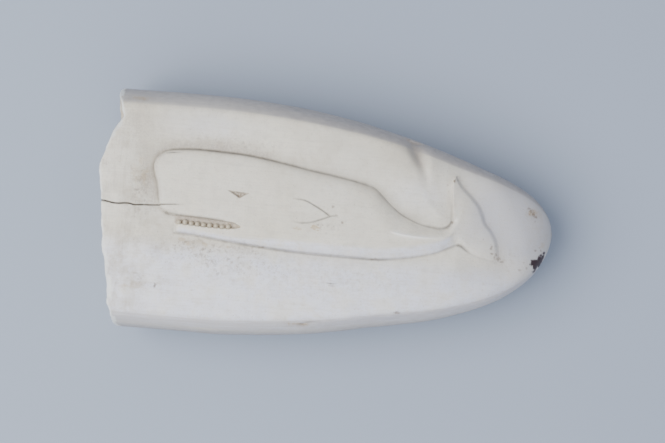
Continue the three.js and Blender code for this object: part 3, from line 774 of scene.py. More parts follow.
# Broken facets along the root's edge: each is a small plane that tips outward
def rootBevel(x, y, z):
    inward = x - rootEdge(y, z)
    close = np.nonzero((inward < root["bevel"] * 2) & (z > 14))[0]
    depth, facet = np.zeros(len(x)), np.zeros(len(x))
    for i in close:
        place = y[i] * 0.33 + 0.12 * z[i]
        cell = math.floor(place + 0.4 * noise.noise(Vector((place * 2, 1.5, 0))))
        size = 0.35 + 0.65 * (noise.cell(Vector((cell + 0.5, 7.5, 0.5))) * 0.5 + 0.5)
        size *= 0.45 + 0.75 * float(max(smooth(-y[i], 8, 20), smooth(y[i], 13, 22)))
        reach = root["bevel"] * size * (1 + 0.25 * noise.noise(Vector((x[i], y[i], 3)) * 0.9))
        facet[i] = min(1, max(0, (reach - inward[i]) / 0.25))
        depth[i] = root["bevelDepth"] * size * min(1.6, max(0, 1 - inward[i] / reach))
    return depth, facet


# The natural surface is a little uneven, square to itself; the ground face isn't
def naturalRipple(x, y, z, q):
    near, far = rims(x)
    beyond = smooth(np.maximum(q - far, near - q), 0.3, 4)
    amount = np.zeros(len(x))
    for i in np.nonzero(beyond > 0)[0]:
        place = Vector((x[i] * 0.035, y[i] * 0.12, z[i] * 0.12))
        amount[i] = noise.noise(place) + 0.5 * noise.noise(place * 2.7)
    amount = 2 * tooth["ripple"] * amount * beyond
    outY, outZ = y - middleY(x), (z - widestZ(x)) * 1.4
    length = np.maximum(np.hypot(outY, outZ), 1e-6)
    return y + outY / length * amount, np.maximum(z + outZ / length * amount, 0)


# Faces from ring to ring, and a fan that closes the bottom of the cavity
def endFaces(ring, ringCount, start):
    count = len(ring)
    loops = [ring] + [[start + k * count + i for i in range(count)] for k in range(ringCount)]
    faces = []
    for outer, inner in zip(loops, loops[1:]):
        for i in range(count):
            j = (i + 1) % count
            faces.append((outer[i], outer[j], inner[j], inner[i]))
    last, bottom = loops[-1], start + ringCount * count
    return faces + [(last[i], last[(i + 1) % count], bottom) for i in range(count)]


def buildTooth():
    sheet, faces, ring = unrolledSheet()
    print("tooth sheet:", len(sheet), "points", len(faces), "triangles")
    x, q = xOf(sheet[:, 0]), sheet[:, 1]
    y, z = toothPoint(x, q)
    z, bodyAway, tailAway, onFace = relief(x, y, z, q)
    z, inEye, inCrease = addCreaseAndEye(x, y, z, onFace)
    bevel, facet = rootBevel(x, y, z)
    y, z = naturalRipple(x, y, z - bevel, q)
    points = np.stack([x, y, z], 1)
    rings, cavityTip = rootRings(points[ring])
    print("root rings:", len(rings), "of", len(ring))
    vertices = np.vstack([points, *rings, cavityTip[None, :]])
    faces += endFaces(ring, len(rings), len(points))

    near, far = rims(x)
    surface = {
        "carvable": onFace & (z > 8),
        "faceHeight": faceHeight(x, y) * mm,
        "eyeBrown": inEye,
        "crease": inCrease,
        "facet": facet,
        "side": smooth(np.maximum(q - far, near - q), -0.1, 0.9),
        "farSide": farSideMask(x, y, z, q, near, far),
        "nearSide": nearSideMask(x, q, near),
        "hidden": smooth(widestZ(x) + 3 - z, 0, 8),
    }
    for name, mask in faceMasks(x, y, bodyAway, tailAway).items():
        surface[name] = mask * onFace
    # the number of each end point's ring, and from it what the broken end and the cavity are
    number = np.append(np.repeat(np.arange(1, len(rings) + 1), len(ring)), len(rings) + 1)
    share = np.minimum(1, number / root["endRings"])
    end = {
        "carvable": (1 - share) * (vertices[len(points):, 2] > root["cavityZ"]),
        "facet": 0.5,
        "farSide": 0.8,
        "brokenEnd": np.where(number < root["endRings"], 1.0, np.where(number == root["endRings"], 0.5, 0.0)),
        "cavity": (number >= root["endRings"]).astype(float),
        "endShare": share**root["ringSpread"],
    }
    attributes = {"drawX": vertices[:, 0], "drawY": vertices[:, 1]}
    for name in [*surface, *(name for name in end if name not in surface)]:
        attributes[name] = np.concatenate([np.full(len(x), surface.get(name, 0.0)),
                                           np.full(len(number), end.get(name, 0.0))])
    return toothPiece(vertices, faces, attributes)


def toothPiece(vertices, faces, attributes):
    mesh = bpy.data.meshes.new("ScrimshawTooth")
    mesh.from_pydata((vertices * mm + np.array(drawingOrigin)).tolist(), [], faces)
    for name, values in attributes.items():
        setAttribute(mesh, name, values)
    used = bmesh.new()
    used.from_mesh(mesh)
    bmesh.ops.delete(used, geom=[vertex for vertex in used.verts if not vertex.link_faces], context="VERTS")
    bmesh.ops.recalc_face_normals(used, faces=used.faces)
    bmesh.ops.triangulate(used, faces=used.faces)
    used.to_mesh(mesh)
    used.free()
    mesh.polygons.foreach_set("use_smooth", np.ones(len(mesh.polygons), bool))
    piece = bpy.data.objects.new("ScrimshawTooth", mesh)
    bpy.context.scene.collection.objects.link(piece)
    print("tooth mesh:", len(mesh.vertices), "points", len(mesh.polygons), "faces")
    return piece


# Soft patches on the face: x, y, reach along, reach across, strength
patches = {
    "valley": [(22.5, 21, 4.5, 5, 0.75), (9, 19, 17, 7, 0.55), (-45, 24, 16, 6, 0.45)],
    "speckled": [(-34, -12.5, 11, 3.5, 1), (-20, -16, 16, 5, 0.55), (8, -17, 16, 5, 0.35),
                 (-53, -2, 4, 12, 0.5), (-1, -2.5, 5, 2.2, 0.7), (-51, -22, 6, 3, 0.6),
                 (-30, 18.5, 18, 2.5, 0.7), (53, -7, 5, 3, 0.5), (-22, -10.6, 5, 1.6, 0.8),
                 (-38.5, -9.8, 4.5, 2, 1), (-52.5, 6, 3, 7, 0.8)],
    "tipShade": [(55, -3, 8, 9, 0.75), (49, 7, 7, 7, 0.65), (42, -14, 12, 5, 0.3)],
    # painted light: whiter, bluish patches where broken facets and slopes face the light
    "coolness": [(-36, 23, 11, 3.5, 0.6), (26, 9, 7, 4, 0.5), (-62, -24, 2.5, 8, 0.8), (42, 2, 5, 6, 0.3)],
    "stain": [(-53, 6, 2.4, 6, 1), (-56.5, 2, 2.5, 3.5, 0.35), (-45.5, 16.6, 4, 1.2, 0.5),
              (-34, 18, 8, 1.8, 0.6), (-22, 17.8, 5, 1.3, 0.5), (-37, -10.3, 7, 1.8, 0.55),
              (-52.5, -23.2, 4.6, 1, 0.9), (-57, -13, 4, 6, 0.65), (-50, -19, 6, 5, 0.3),
              (-35.5, -9.7, 6.5, 0.8, 0.6), (-46.5, -12.6, 2.4, 2.4, 0.4), (-60, 14, 3, 8, 0.25),
              (0, 1, 6, 3.4, 0.35), (37, 6, 4, 7, 0.25), (-48, -6, 4, 2.5, 0.35), (62, 4, 3, 8, 0.4),
              (-5, -30, 8, 1.4, 0.5), (-8, 16, 8, 1.3, 0.35), (-55, 29, 5, 1.2, 0.4)],
    "smudge": [(-31, 18.3, 8, 1.1, 0.6), (-52, 6.5, 1.3, 4.5, 1), (59, 6.9, 2, 1.2, 0.6),
               (-57, 21, 7, 5.5, 0.55), (-38, -3.6, 6, 0.7, 0.35), (-52.4, -23, 4.2, 0.7, 0.55),
               (-58, -17, 2.5, 6, 0.3), (-38.5, -9.9, 3.6, 1, 0.5), (-22.5, -10.9, 3, 0.9, 0.5),
               (49.5, -6.8, 1.6, 1.5, 0.5), (59, 6.4, 1.6, 1.6, 0.5), (46.5, 2.2, 1.2, 1.6, 0.25),
               (49, -4.5, 1.2, 3, 0.35)],
}
smudgeAndShadeLines = [                # path, reach and strength of the smudges and painted shade that lie along the cut lines, such as the shadow under the lip
    ([(-49, 14), (-46, 16.4), (-38, 17), (-28, 16.8), (-18, 15.9)], 1.2, 0.8),
    ([(-50.6, 10), (-50.2, 6), (-49.4, 2), (-48.6, -1.5)], 0.9, 0.6),
    ([(-47.5, -1.2), (-44.5, -2.7), (-38, -3.1), (-31, -3.5), (-26, -3.9)], 0.5, 0.6),
    ([(-48, -14.6), (-46.5, -12.2), (-44.9, -10.9)], 0.7, 0.5),
]


def patchMask(name, x, y):
    mask = np.zeros(len(x))
    for centreX, centreY, reachX, reachY, strength in patches[name]:
        mask += strength * np.exp(-((x - centreX) / reachX) ** 2 - ((y - centreY) / reachY) ** 2)
    return mask


def faceMasks(x, y, bodyAway, tailAway):
    return {
        "rootward": smooth(-x, 46, 57),
        "polish": crestShine(x, y),
        "valley": valleyDirtAndShadeMask(x, y, np.minimum(bodyAway, tailAway)),
        "speckled": np.clip(patchMask("speckled", x, y), 0, 1),
        "tipShade": tipShadeMask(x, y),
        "coolness": paintedSkyLightMask(x, y),
        "stain": np.clip(patchMask("stain", x, y), 0, 1),
        "smudge": smudgeAndShadeMask(x, y),
        "spot": spotMask(x, y, spots),
        "tanSpot": spotMask(x, y, tanSpots),
        "tipStain": tipMask(x, y),
    }


# Painted highlight along the tail stock's crest
def crestShine(x, y):
    away = distanceTo(smoothPath(crest["path"], 0.4), x, y)
    strength = crest["shine"] * smooth(x, 17.5, 20.5) * mix(1, 0.35, smooth(x, 25, 33))
    return strength * np.exp(-(away / crest["reach"]) ** 2)


# Dirt and painted shade along the foot of the back, in a strip just inside the body's back edge, and in the
# hollow before the tail
def valleyDirtAndShadeMask(x, y, outside):
    reach = mix(3.2, 1.8, smooth(x, -30, 0))
    inward = -mix(1.4, 2.8, smooth(x, -25, 0))
    darkened = np.exp(-(np.maximum(outside, 0) / reach) ** 2) * smooth(outside, inward, 0)
    darkened *= mix(0.35, 1, smooth(y, 0.5, 2.5)) * (1 - 0.55 * smooth(x, 27, 33)) * (1 - smooth(x, 36, 42))
    return np.clip(darkened + patchMask("valley", x, y), 0, 1)


# Painted shade: greyer towards the tip and on the ground beyond the flukes, where the surface turns away from
# the light, but not on the tail's light saddle
def tipShadeMask(x, y):
    mask = 0.5 * smooth(x, 30, 42) * smooth(y, -9, 4) + patchMask("tipShade", x, y) + 0.3 * smooth(x, 50, 62)
    saddle = np.exp(-((x - 37.5) / 3.2) ** 2 - ((y - 5) / 6) ** 2)
    return np.clip(mask, 0, 1) * (1 - 0.8 * saddle)


# The near side of the natural surface, seen past the near rim: its own colour with painted shade and a painted
# bluish reflection, stronger towards the tip
def nearSideMask(x, q, near):
    past = near - q
    return smooth(past, -0.5, 0.8) * mix(1, 0.45, smooth(past, 3, 9)) * mix(0.85, 1.35, smooth(x, -10, 18))


# The natural surface is darker on the far side and underneath than on the polished near rim: partly a darker
# cementum, partly painted shade where the side turns away from the light and lies underneath
def farSideMask(x, y, z, q, near, far):
    edge = middleY(x) + halfWidth(x)
    out = np.where(z < widestZ(x) + 1, 1, np.clip((y - far) / np.maximum(edge - far, 0.2), 0, 1))
    farPart = smooth(q - far, -0.1, 0.9) * mix(mix(0.22, 1, out**1.4), mix(0.6, 1, out), smooth(x, -50, 5))
    nearPart = smooth(near - q, 4, 14)
    return np.maximum(farPart, nearPart * 0.8)


# Painted light and reflection: the ivory is drawn whiter and bluer low on the face and in a band along the
# belly, where the surface faces the near side's bluish light
def paintedSkyLightMask(x, y):
    mask = smooth(-y, 8, 15) + patchMask("coolness", x, y)
    overBelly = (y - along(whale["belly"], x)) * (x < 37)
    reach = mix(2.0, 3.6, smooth(x, -26, -10))
    band = smooth(reach - overBelly, 0, 1.4) * smooth(overBelly, -0.4, 0.3)
    return np.clip(mask + band * smooth(x, -43, -41) * smooth(38 - x, 0, 4), 0, 1)


# Smudges, with painted shade along the cut lines and under the lip
def smudgeAndShadeMask(x, y):
    mask = patchMask("smudge", x, y)
    for path, reach, strength in smudgeAndShadeLines:
        mask += strength * np.exp(-(distanceTo(smoothPath(path, 0.5), x, y) / reach) ** 2)
    return np.clip(mask, 0, 1)


def spotMask(x, y, chosen):
    mask = np.zeros(len(x))
    for spotX, spotY, sizeX, sizeY, strength in chosen:
        near = np.nonzero((np.abs(x - spotX) < 4) & (np.abs(y - spotY) < 3))[0]
        for i in near:
            wobble = 1 + 0.9 * noise.noise(Vector((x[i] * 1.7, y[i] * 1.7, spotX)))
            away = math.hypot((x[i] - spotX) / sizeX, (y[i] - spotY) / sizeY) * wobble
            mask[i] = max(mask[i], strength * min(1, 1.7 * max(0, 1 - away**2)))
    return mask


def tipMask(x, y):
    mask = np.zeros(len(x))
    for i in np.nonzero((x > 57) & (y < -2) & (y > -11))[0]:
        ragged = 0.55 * noise.noise(Vector((x[i] * 1.1, y[i] * 1.1, 4)))
        ragged += 0.3 * noise.noise(Vector((x[i] * 3, y[i] * 3, 1)))
        away = min(math.hypot(x[i] - stainX, y[i] - stainY) - size for stainX, stainY, size in tipStain)
        mask[i] = 1 - min(1, max(0, (away + ragged + 0.05) / 0.28))
    return mask


# Helpers for node trees
def addNode(tree, kind, inputs=None, **settings):
    made = tree.nodes.new(kind)
    for name, value in settings.items():
        setattr(made, name, value)
    for key, value in (inputs or {}).items():
        fill(tree, made.inputs[key], value)
    return made


def fill(tree, socket, value):
    if isinstance(value, bpy.types.NodeSocket):
        tree.links.new(value, socket)
    else:
        socket.default_value = value


def mathNode(tree, operation, *values):
    made = addNode(tree, "ShaderNodeMath", operation=operation)
    for socket, value in zip(made.inputs, values):
        fill(tree, socket, value)
    return made.outputs[0]


def times(tree, first, *others):
    for value in others:
        first = mathNode(tree, "MULTIPLY", first, value)
    return first


# What is left of 1 after the share, and never below 0
def leftOver(tree, share):
    return mathNode(tree, "MAXIMUM", mathNode(tree, "SUBTRACT", 1.0, share), 0.0)


def vectorOf(tree, **parts):
    return addNode(tree, "ShaderNodeCombineXYZ", parts).outputs[0]


def newGeometryTree(name, sizes):
    tree = bpy.data.node_groups.new(name, "GeometryNodeTree")
    tree.interface.new_socket("Geometry", in_out="INPUT", socket_type="NodeSocketGeometry")
    for label, kind in sizes.items():
        tree.interface.new_socket(label, in_out="INPUT", socket_type="NodeSocket" + kind)
    tree.interface.new_socket("Geometry", in_out="OUTPUT", socket_type="NodeSocketGeometry")
    return tree, addNode(tree, "NodeGroupInput").outputs, addNode(tree, "NodeGroupOutput")


def finishTree(tree, geometry, material, output):
    real = addNode(tree, "GeometryNodeRealizeInstances", {"Geometry": geometry})
    painted = addNode(tree, "GeometryNodeSetMaterial", {"Geometry": real.outputs[0], "Material": material})
    tree.links.new(painted.outputs[0], output.inputs["Geometry"])


def namedFloat(tree, name):
    made = addNode(tree, "GeometryNodeInputNamedAttribute", {"Name": name}, data_type="FLOAT")
    return made.outputs["Attribute"]


def storeFloat(tree, geometry, name, value):
    return addNode(tree, "GeometryNodeStoreNamedAttribute", {
        "Geometry": geometry, "Name": name, "Value": value}, data_type="FLOAT", domain="POINT").outputs[0]


def moveBy(tree, geometry, height):
    return addNode(tree, "GeometryNodeSetPosition", {
        "Geometry": geometry, "Offset": vectorOf(tree, Z=height)}).outputs[0]


# Distance in the plane of the drawing, so the height of the face doesn't matter
def drawnPlace(tree):
    x, y = (times(tree, namedFloat(tree, name), mm) for name in ("drawX", "drawY"))
    return vectorOf(tree, X=x, Y=y)


def distanceNode(tree, target, place):
    near = addNode(tree, "GeometryNodeProximity", {"Target": target}, target_element="EDGES")
    placeName = "Source Position" if "Source Position" in near.inputs else "Sample Position"
    tree.links.new(place, near.inputs[placeName])
    return near.outputs["Distance"]


# The face sinks towards each stroke, as deep and as wide as the stroke's weight says, and dirt lies beside it,
# with painted shade beside the soft and trailing strokes
def cutLineTree():
    tree, given, output = newGeometryTree("CutLines", {
        "Lines": "Object", "Width": "Float", "Depth": "Float", "DirtAndShade": "Float", "Material": "Material"})
    path = addNode(tree, "GeometryNodeObjectInfo", {"Object": given["Lines"]})
    thickness = addNode(tree, "GeometryNodeInputRadius").outputs[0]
    weighted = storeFloat(tree, path.outputs["Geometry"], "weight", thickness)
    wires = addNode(tree, "GeometryNodeCurveToMesh", {"Curve": weighted}).outputs[0]
    place = drawnPlace(tree)
    away = distanceNode(tree, wires, place)
    closest = addNode(tree, "GeometryNodeSampleNearest", {"Geometry": wires, "Sample Position": place})
    weight = addNode(tree, "GeometryNodeSampleIndex", {
        "Geometry": wires, "Value": namedFloat(tree, "weight"), "Index": closest.outputs[0]},
        data_type="FLOAT", domain="POINT").outputs[0]
    strength = times(tree, weight, namedFloat(tree, "carvable"))
    reach = mathNode(tree, "MAXIMUM", times(tree, given["Width"], weight), 1e-6)
    slope = leftOver(tree, mathNode(tree, "DIVIDE", away, reach))
    carved = moveBy(tree, given["Geometry"], times(tree, slope, given["Depth"], strength, -1.0))
    darkened = leftOver(tree, mathNode(tree, "DIVIDE", away, times(tree, given["Width"], 1.5)))
    dirtAndShade = times(tree, darkened, given["DirtAndShade"], strength)
    grime = mathNode(tree, "MAXIMUM", namedFloat(tree, "grime"), dirtAndShade)
    finishTree(tree, storeFloat(tree, carved, "grime", grime), given["Material"], output)
    return tree


# A node with one socket of each kind under the same name: the one for single numbers
def singleNumber(sockets, name):
    return next(socket for socket in sockets if socket.name == name and socket.type == "VALUE")


# Peg teeth: one short axis at each step along the jaw, and the surface swells into a half round over it
def jawTeethTree():
    tree, given, output = newGeometryTree("JawTeeth", {
        "Jaw": "Object", "Count": "Int", "Length": "Float", "Shortest": "Float", "Longest": "Float",
        "Radius": "Float", "Sink": "Float", "Material": "Material"})
    path = addNode(tree, "GeometryNodeObjectInfo", {"Object": given["Jaw"]})
    steps = addNode(tree, "GeometryNodeResampleCurve", {
        "Curve": path.outputs["Geometry"], "Count": given["Count"]})
    axis = addNode(tree, "GeometryNodeMeshLine", {"Count": 2, "Offset": vectorOf(tree, Y=given["Length"])},
                   mode="END_POINTS")
    grown = addNode(tree, "FunctionNodeRandomValue", {"Seed": pegs["seed"]}, data_type="FLOAT")
    fill(tree, singleNumber(grown.inputs, "Min"), given["Shortest"])
    fill(tree, singleNumber(grown.inputs, "Max"), given["Longest"])
    stretch = vectorOf(tree, X=1.0, Y=singleNumber(grown.outputs, "Value"), Z=1.0)
    placed = addNode(tree, "GeometryNodeInstanceOnPoints", {
        "Points": steps.outputs[0], "Instance": axis.outputs[0], "Scale": stretch})
    axes = addNode(tree, "GeometryNodeRealizeInstances", {"Geometry": placed.outputs[0]}).outputs[0]
    share = mathNode(tree, "DIVIDE", distanceNode(tree, axes, drawnPlace(tree)), given["Radius"])
    inside = leftOver(tree, times(tree, share, share))
    dome = mathNode(tree, "SQRT", inside)
    here = mathNode(tree, "GREATER_THAN", inside, 0.0)
    top = mathNode(tree, "ADD", namedFloat(tree, "faceHeight"), times(tree, dome, given["Radius"]))
    top = mathNode(tree, "SUBTRACT", top, given["Sink"])
    position = addNode(tree, "GeometryNodeInputPosition").outputs[0]
    height = addNode(tree, "ShaderNodeSeparateXYZ", {"Vector": position}).outputs["Z"]
    lift = mathNode(tree, "MAXIMUM", mathNode(tree, "SUBTRACT", top, height), 0.0)
    raised = moveBy(tree, given["Geometry"], times(tree, lift, here, namedFloat(tree, "carvable")))
    finishTree(tree, storeFloat(tree, raised, "peg", times(tree, dome, here)), given["Material"], output)
    return tree


def curveFrom(name, paths, spacing):
    data = bpy.data.curves.new(name, "CURVE")
    data.dimensions = "3D"
    for points, weights in paths:
        path = smoothPath(points, spacing)
        run = np.concatenate([[0], np.cumsum(np.hypot(*np.diff(np.array(points, float), axis=0).T))])
        weight = np.interp(np.linspace(0, run[-1], len(path)), run, weights)
        spline = data.splines.new("POLY")
        spline.points.add(len(path) - 1)
        for point, (x, y), value in zip(spline.points, path, weight):
            point.co = (x * mm, y * mm, 0, 1)
            point.radius = float(value)
    made = bpy.data.objects.new(name, data)
    bpy.context.scene.collection.objects.link(made)
    return made


def useTree(piece, tree, label, values):
    modifier = piece.modifiers.new(label, "NODES")
    modifier.node_group = tree
    sockets = {item.name: item.identifier for item in tree.interface.items_tree if item.in_out == "INPUT"}
    for name, value in values.items():
        modifier[sockets[name]] = value


def carveLines(piece, material):
    cut, teeth = cutLineTree(), jawTeethTree()
    helpers = []
    for name, stroke in strokes.items():
        helpers.append(curveFrom(name, stroke["paths"], stroke.get("spacing", 0.3)))
        useTree(piece, cut, name, {
            "Lines": helpers[-1], "Width": stroke["width"] * mm, "Depth": stroke["depth"] * mm,
            "DirtAndShade": float(stroke["dirtAndShade"]), "Material": material})
    jawPath = [(x, float(along(whale["jaw"], x)) - 0.2) for x in np.linspace(pegs["first"], pegs["last"], 5)]
    helpers.append(curveFrom("JawLine", [(jawPath, [1] * 5)], 0.2))
    useTree(piece, teeth, "JawTeeth", {
        "Jaw": helpers[-1], "Count": pegs["count"], "Length": pegs["length"] * mm,
        "Shortest": pegs["shortest"], "Longest": pegs["longest"], "Radius": pegs["radius"] * mm,
        "Sink": pegs["sink"] * mm, "Material": material})
    carved = bpy.data.meshes.new_from_object(piece.evaluated_get(bpy.context.evaluated_depsgraph_get()))
    piece.modifiers.clear()
    plain = piece.data
    piece.data = carved
    bpy.data.meshes.remove(plain)
    carved.name = "ScrimshawTooth"
    for helper in helpers:
        bpy.data.objects.remove(helper)
    print("carved lines and jaw teeth:", len(carved.vertices), "points", len(carved.polygons), "faces")


# Colour of the mouth: tan in the open wedge, darkest at the foot of the gaps between the pegs
def colourMouth(piece):
    mesh = piece.data
    values = {}
    for name in ("drawX", "drawY", "carvable", "peg"):
        values[name] = np.zeros(len(mesh.vertices), np.float32)
        mesh.attributes[name].data.foreach_get("value", values[name])
    x, y = values["drawX"].astype(float), values["drawY"].astype(float)
    onTop = values["carvable"] > 0.5
    wedge, peg = mouthShare(x, y) * onTop, smooth(values["peg"], 0.2, 0.7)
    lip, jaw = along(whale["lip"], x), along(whale["jaw"], x)
    overJaw = smooth(y - jaw, -0.55, -0.1) * (y < lip) * (x > whale["jawFront"]) * (x < whale["mouthCorner"])
    setAttribute(mesh, "mouthBrown", wedge * (1 - peg))
    setAttribute(mesh, "pegTan", overJaw * peg * onTop)
    low = 1 - np.clip((y - jaw) / np.maximum(lip - jaw, 0.3), 0, 1)
    pitch = (pegs["last"] - pegs["first"]) / (pegs["count"] - 1)
    step = (x - pegs["first"]) / pitch
    fromGap = np.abs(step + 0.5 - np.round(step + 0.5)) * pitch
    beside = smooth(step, -0.65, -0.35) * smooth(pegs["last"] + 0.68 * pitch - x, 0, 0.3)
    unlike = np.array([0.6 + 0.4 * noise.noise(Vector((at * 0.9, 5.3, 0))) for at in step])
    dark = smooth(low, 0.4, 0.62) * smooth(0.97 - low, 0, 0.25) * smooth(0.5 - fromGap, 0, 0.4) * unlike
    setAttribute(mesh, "toothGap", np.clip(wedge * dark * beside, 0, 1))


ivory = {
    "pale": (0.815, 0.775, 0.675, 1),
    "warm": (0.775, 0.72, 0.59, 1),
    # painted light: the whiter, bluish tint of surfaces that face the near side's light
    "cool": (0.825, 0.845, 0.945, 1),
    # painted shade: a bluish grey for the tip's turned-away surfaces
    "shade": (0.53, 0.53, 0.58, 1),
    # the ivory's grain, also used for the painted shade along the foot of the back
    "grain": (0.56, 0.515, 0.43, 1),
    "cement": (0.635, 0.60, 0.56, 1),
    "nearCement": (0.56, 0.535, 0.56, 1),
    # darker cementum, and painted shade for the far side and underneath
    "darkCement": (0.27, 0.245, 0.255, 1),
    # paler broken facets, with a painted highlight where they face the light
    "facet": (0.83, 0.85, 0.83, 1),
    "polish": (0.97, 0.95, 0.90, 1),
    "dentine": (0.74, 0.68, 0.55, 1),
    "outerRing": (0.50, 0.42, 0.30, 1),
    "stain": (0.47, 0.385, 0.255, 1),
    # grey-brown smudges, also used for painted shade in the crease and under the lip
    "smudge": (0.40, 0.35, 0.30, 1),
    # dirt in the cut lines, also the painted shade beside the soft and trailing strokes
    "grime": (0.135, 0.118, 0.10, 1),
    "brown": (0.20, 0.135, 0.085, 1),
    "tan": (0.50, 0.36, 0.19, 1),
    "mouth": (0.46, 0.39, 0.31, 1),
    "pegs": (0.47, 0.40, 0.285, 1),
    "tip": (0.035, 0.013, 0.016, 1),
    "pulp": (0.42, 0.355, 0.26, 1),
    "roughness": 0.46,
    "subsurface": 0.1,
    "growthRings": 70.0,
}

patterns = {                   # noise on the object's own coordinates: scale, detail, roughness, stretch
    "broad": (45, 2.0, 0.55, (1, 1, 1)),
    "cloud": (170, 3.0, 0.55, (1, 1, 1)),
    "mottle": (480, 4.0, 0.55, (1, 1, 1)),
    "grit": (850, 4.0, 0.7, (1, 1, 1)),
    "fine": (1900, 3.0, 0.6, (1, 1, 1)),
    "streak": (1500, 3.0, 0.6, (0.05, 1, 1)),      # runs along the tooth
    "scratch": (1500, 4.0, 0.7, (1, 0.11, 1)),     # runs across it
    "bands": (330, 2.0, 0.5, (1, 0.2, 1)),
}

# The finish from the pale ivory up: a colour, the most that it covers, and what that is multiplied by. A plain
# name is a mask on the mesh. A name with numbers is a mask or a pattern: its low and high go to 0 and 1, or to
# the two numbers that follow.
finishLayers = [
    ("warm", 1.0, ("broad", 0.35, 0.65)),
    # painted bluish light and reflection low on the face and along the belly
    ("cool", 1.0, "coolness", ("cloud", 0.35, 0.6, 0.45, 1)),
    ("grain", 0.6, ("rootward", 0, 1, 0.25, 1), ("cloud", 0.48, 0.64)),
    ("grain", 0.27, ("mottle", 0.5, 0.7)),
    ("grain", 0.24, ("fine", 0.5, 0.72)),
    # painted shade towards the tip
    ("shade", 0.85, "tipShade"),
    # dirt and painted shade along the foot of the back and in the hollows
    ("grain", 0.8, "valley", ("cloud", 0.35, 0.6, 0.6, 1)),
    ("grain", 0.3, ("streak", 0.5, 0.75)),
    ("smudge", 0.36, ("rootward", 0, 1, 0.25, 1), ("scratch", 0.52, 0.7), ("cloud", 0.4, 0.6, 0.1, 1)),
    ("smudge", 0.7, ("fine", 0.66, 0.72), ("cloud", 0.45, 0.6, 0.3, 1)),
    ("smudge", 0.9, "speckled", ("grit", 0.5, 0.66)),
    ("grain", 0.38, ("rootward", 0, 1, 0.25, 1), ("bands", 0.47, 0.62)),
    ("cement", 1.0, "side", ("streak", 0.3, 0.7, 0.35, 1)),                  # natural surface at the sides
    # near side's own colour, with painted shade and painted bluish reflection
    ("nearCement", 0.6, "nearSide", ("streak", 0.35, 0.65, 0.5, 1)),
    # darker cementum and painted shade on the far side and underneath
    ("darkCement", 0.85, "farSide", ("mottle", 0.3, 0.7, 0.7, 1)),
    ("outerRing", 0.6, "hidden", ("streak", 0.3, 0.7, 0.4, 1)),
    # paler broken facets and broken end, with a painted highlight on the edge's facets
    ("facet", 0.85, "facet"),
    ("dentine", 0.75, "brokenEnd"),                                          # growth rings on the broken end
    ("grain", 0.35, "brokenEnd", ("wave", -0.2, 1)),
    ("outerRing", 0.7, "brokenEnd", ("uneven", 0.13, 0.17, 1, 0)),
    ("grain", 0.35, "brokenEnd", ("mottle", 0.45, 0.65)),
    # painted highlight on the crest
    ("polish", 1.0, "polish"),
    ("stain", 0.5, "stain", ("mottle", 0.38, 0.62, 0.15, 1)),                # age stains and dirt, and painted shade in the smudges, the crease and the cut lines
    ("smudge", 0.7, "smudge", ("fine", 0.4, 0.6, 0.35, 1)),
    # dirt and painted shade in the crease
    ("smudge", 0.72, "crease"),
    ("pulp", 0.9, "cavity"),
    ("tan", 0.8, "tanSpot", ("fine", 0.35, 0.6, 0.5, 1)),
    ("brown", 1.0, "spot", ("fine", 0.35, 0.6, 0.55, 1)),
    ("brown", 1.0, "eyeBrown", ("fine", 0.35, 0.6, 0.35, 0.85)),
    ("mouth", 1.0, "mouthBrown", ("fine", 0.35, 0.6, 0.6, 1)),
    ("pegs", 0.85, "pegTan"),
    ("brown", 0.8, "toothGap", ("mottle", 0.4, 0.6, 0.4, 1)),
    # dirt in the cut lines, and painted shade along the soft and trailing strokes
    ("grime", 1.0, "grime", ("mottle", 0.3, 0.6, 0.65, 1)),
    ("tip", 1.0, "tipStain"),
]


def noiseValue(tree, place, scale, fineness, roughness, stretch):
    mapping = addNode(tree, "ShaderNodeMapping", {"Vector": place, "Scale": stretch})
    texture = addNode(tree, "ShaderNodeTexNoise", {
        "Vector": mapping.outputs[0], "Scale": scale, "Detail": fineness, "Roughness": roughness})
    return texture.outputs["Fac"]


def remap(tree, value, low, high, toLow=0.0, toHigh=1.0):
    return addNode(tree, "ShaderNodeMapRange", {
        "Value": value, "From Min": low, "From Max": high, "To Min": toLow, "To Max": toHigh}).outputs[0]


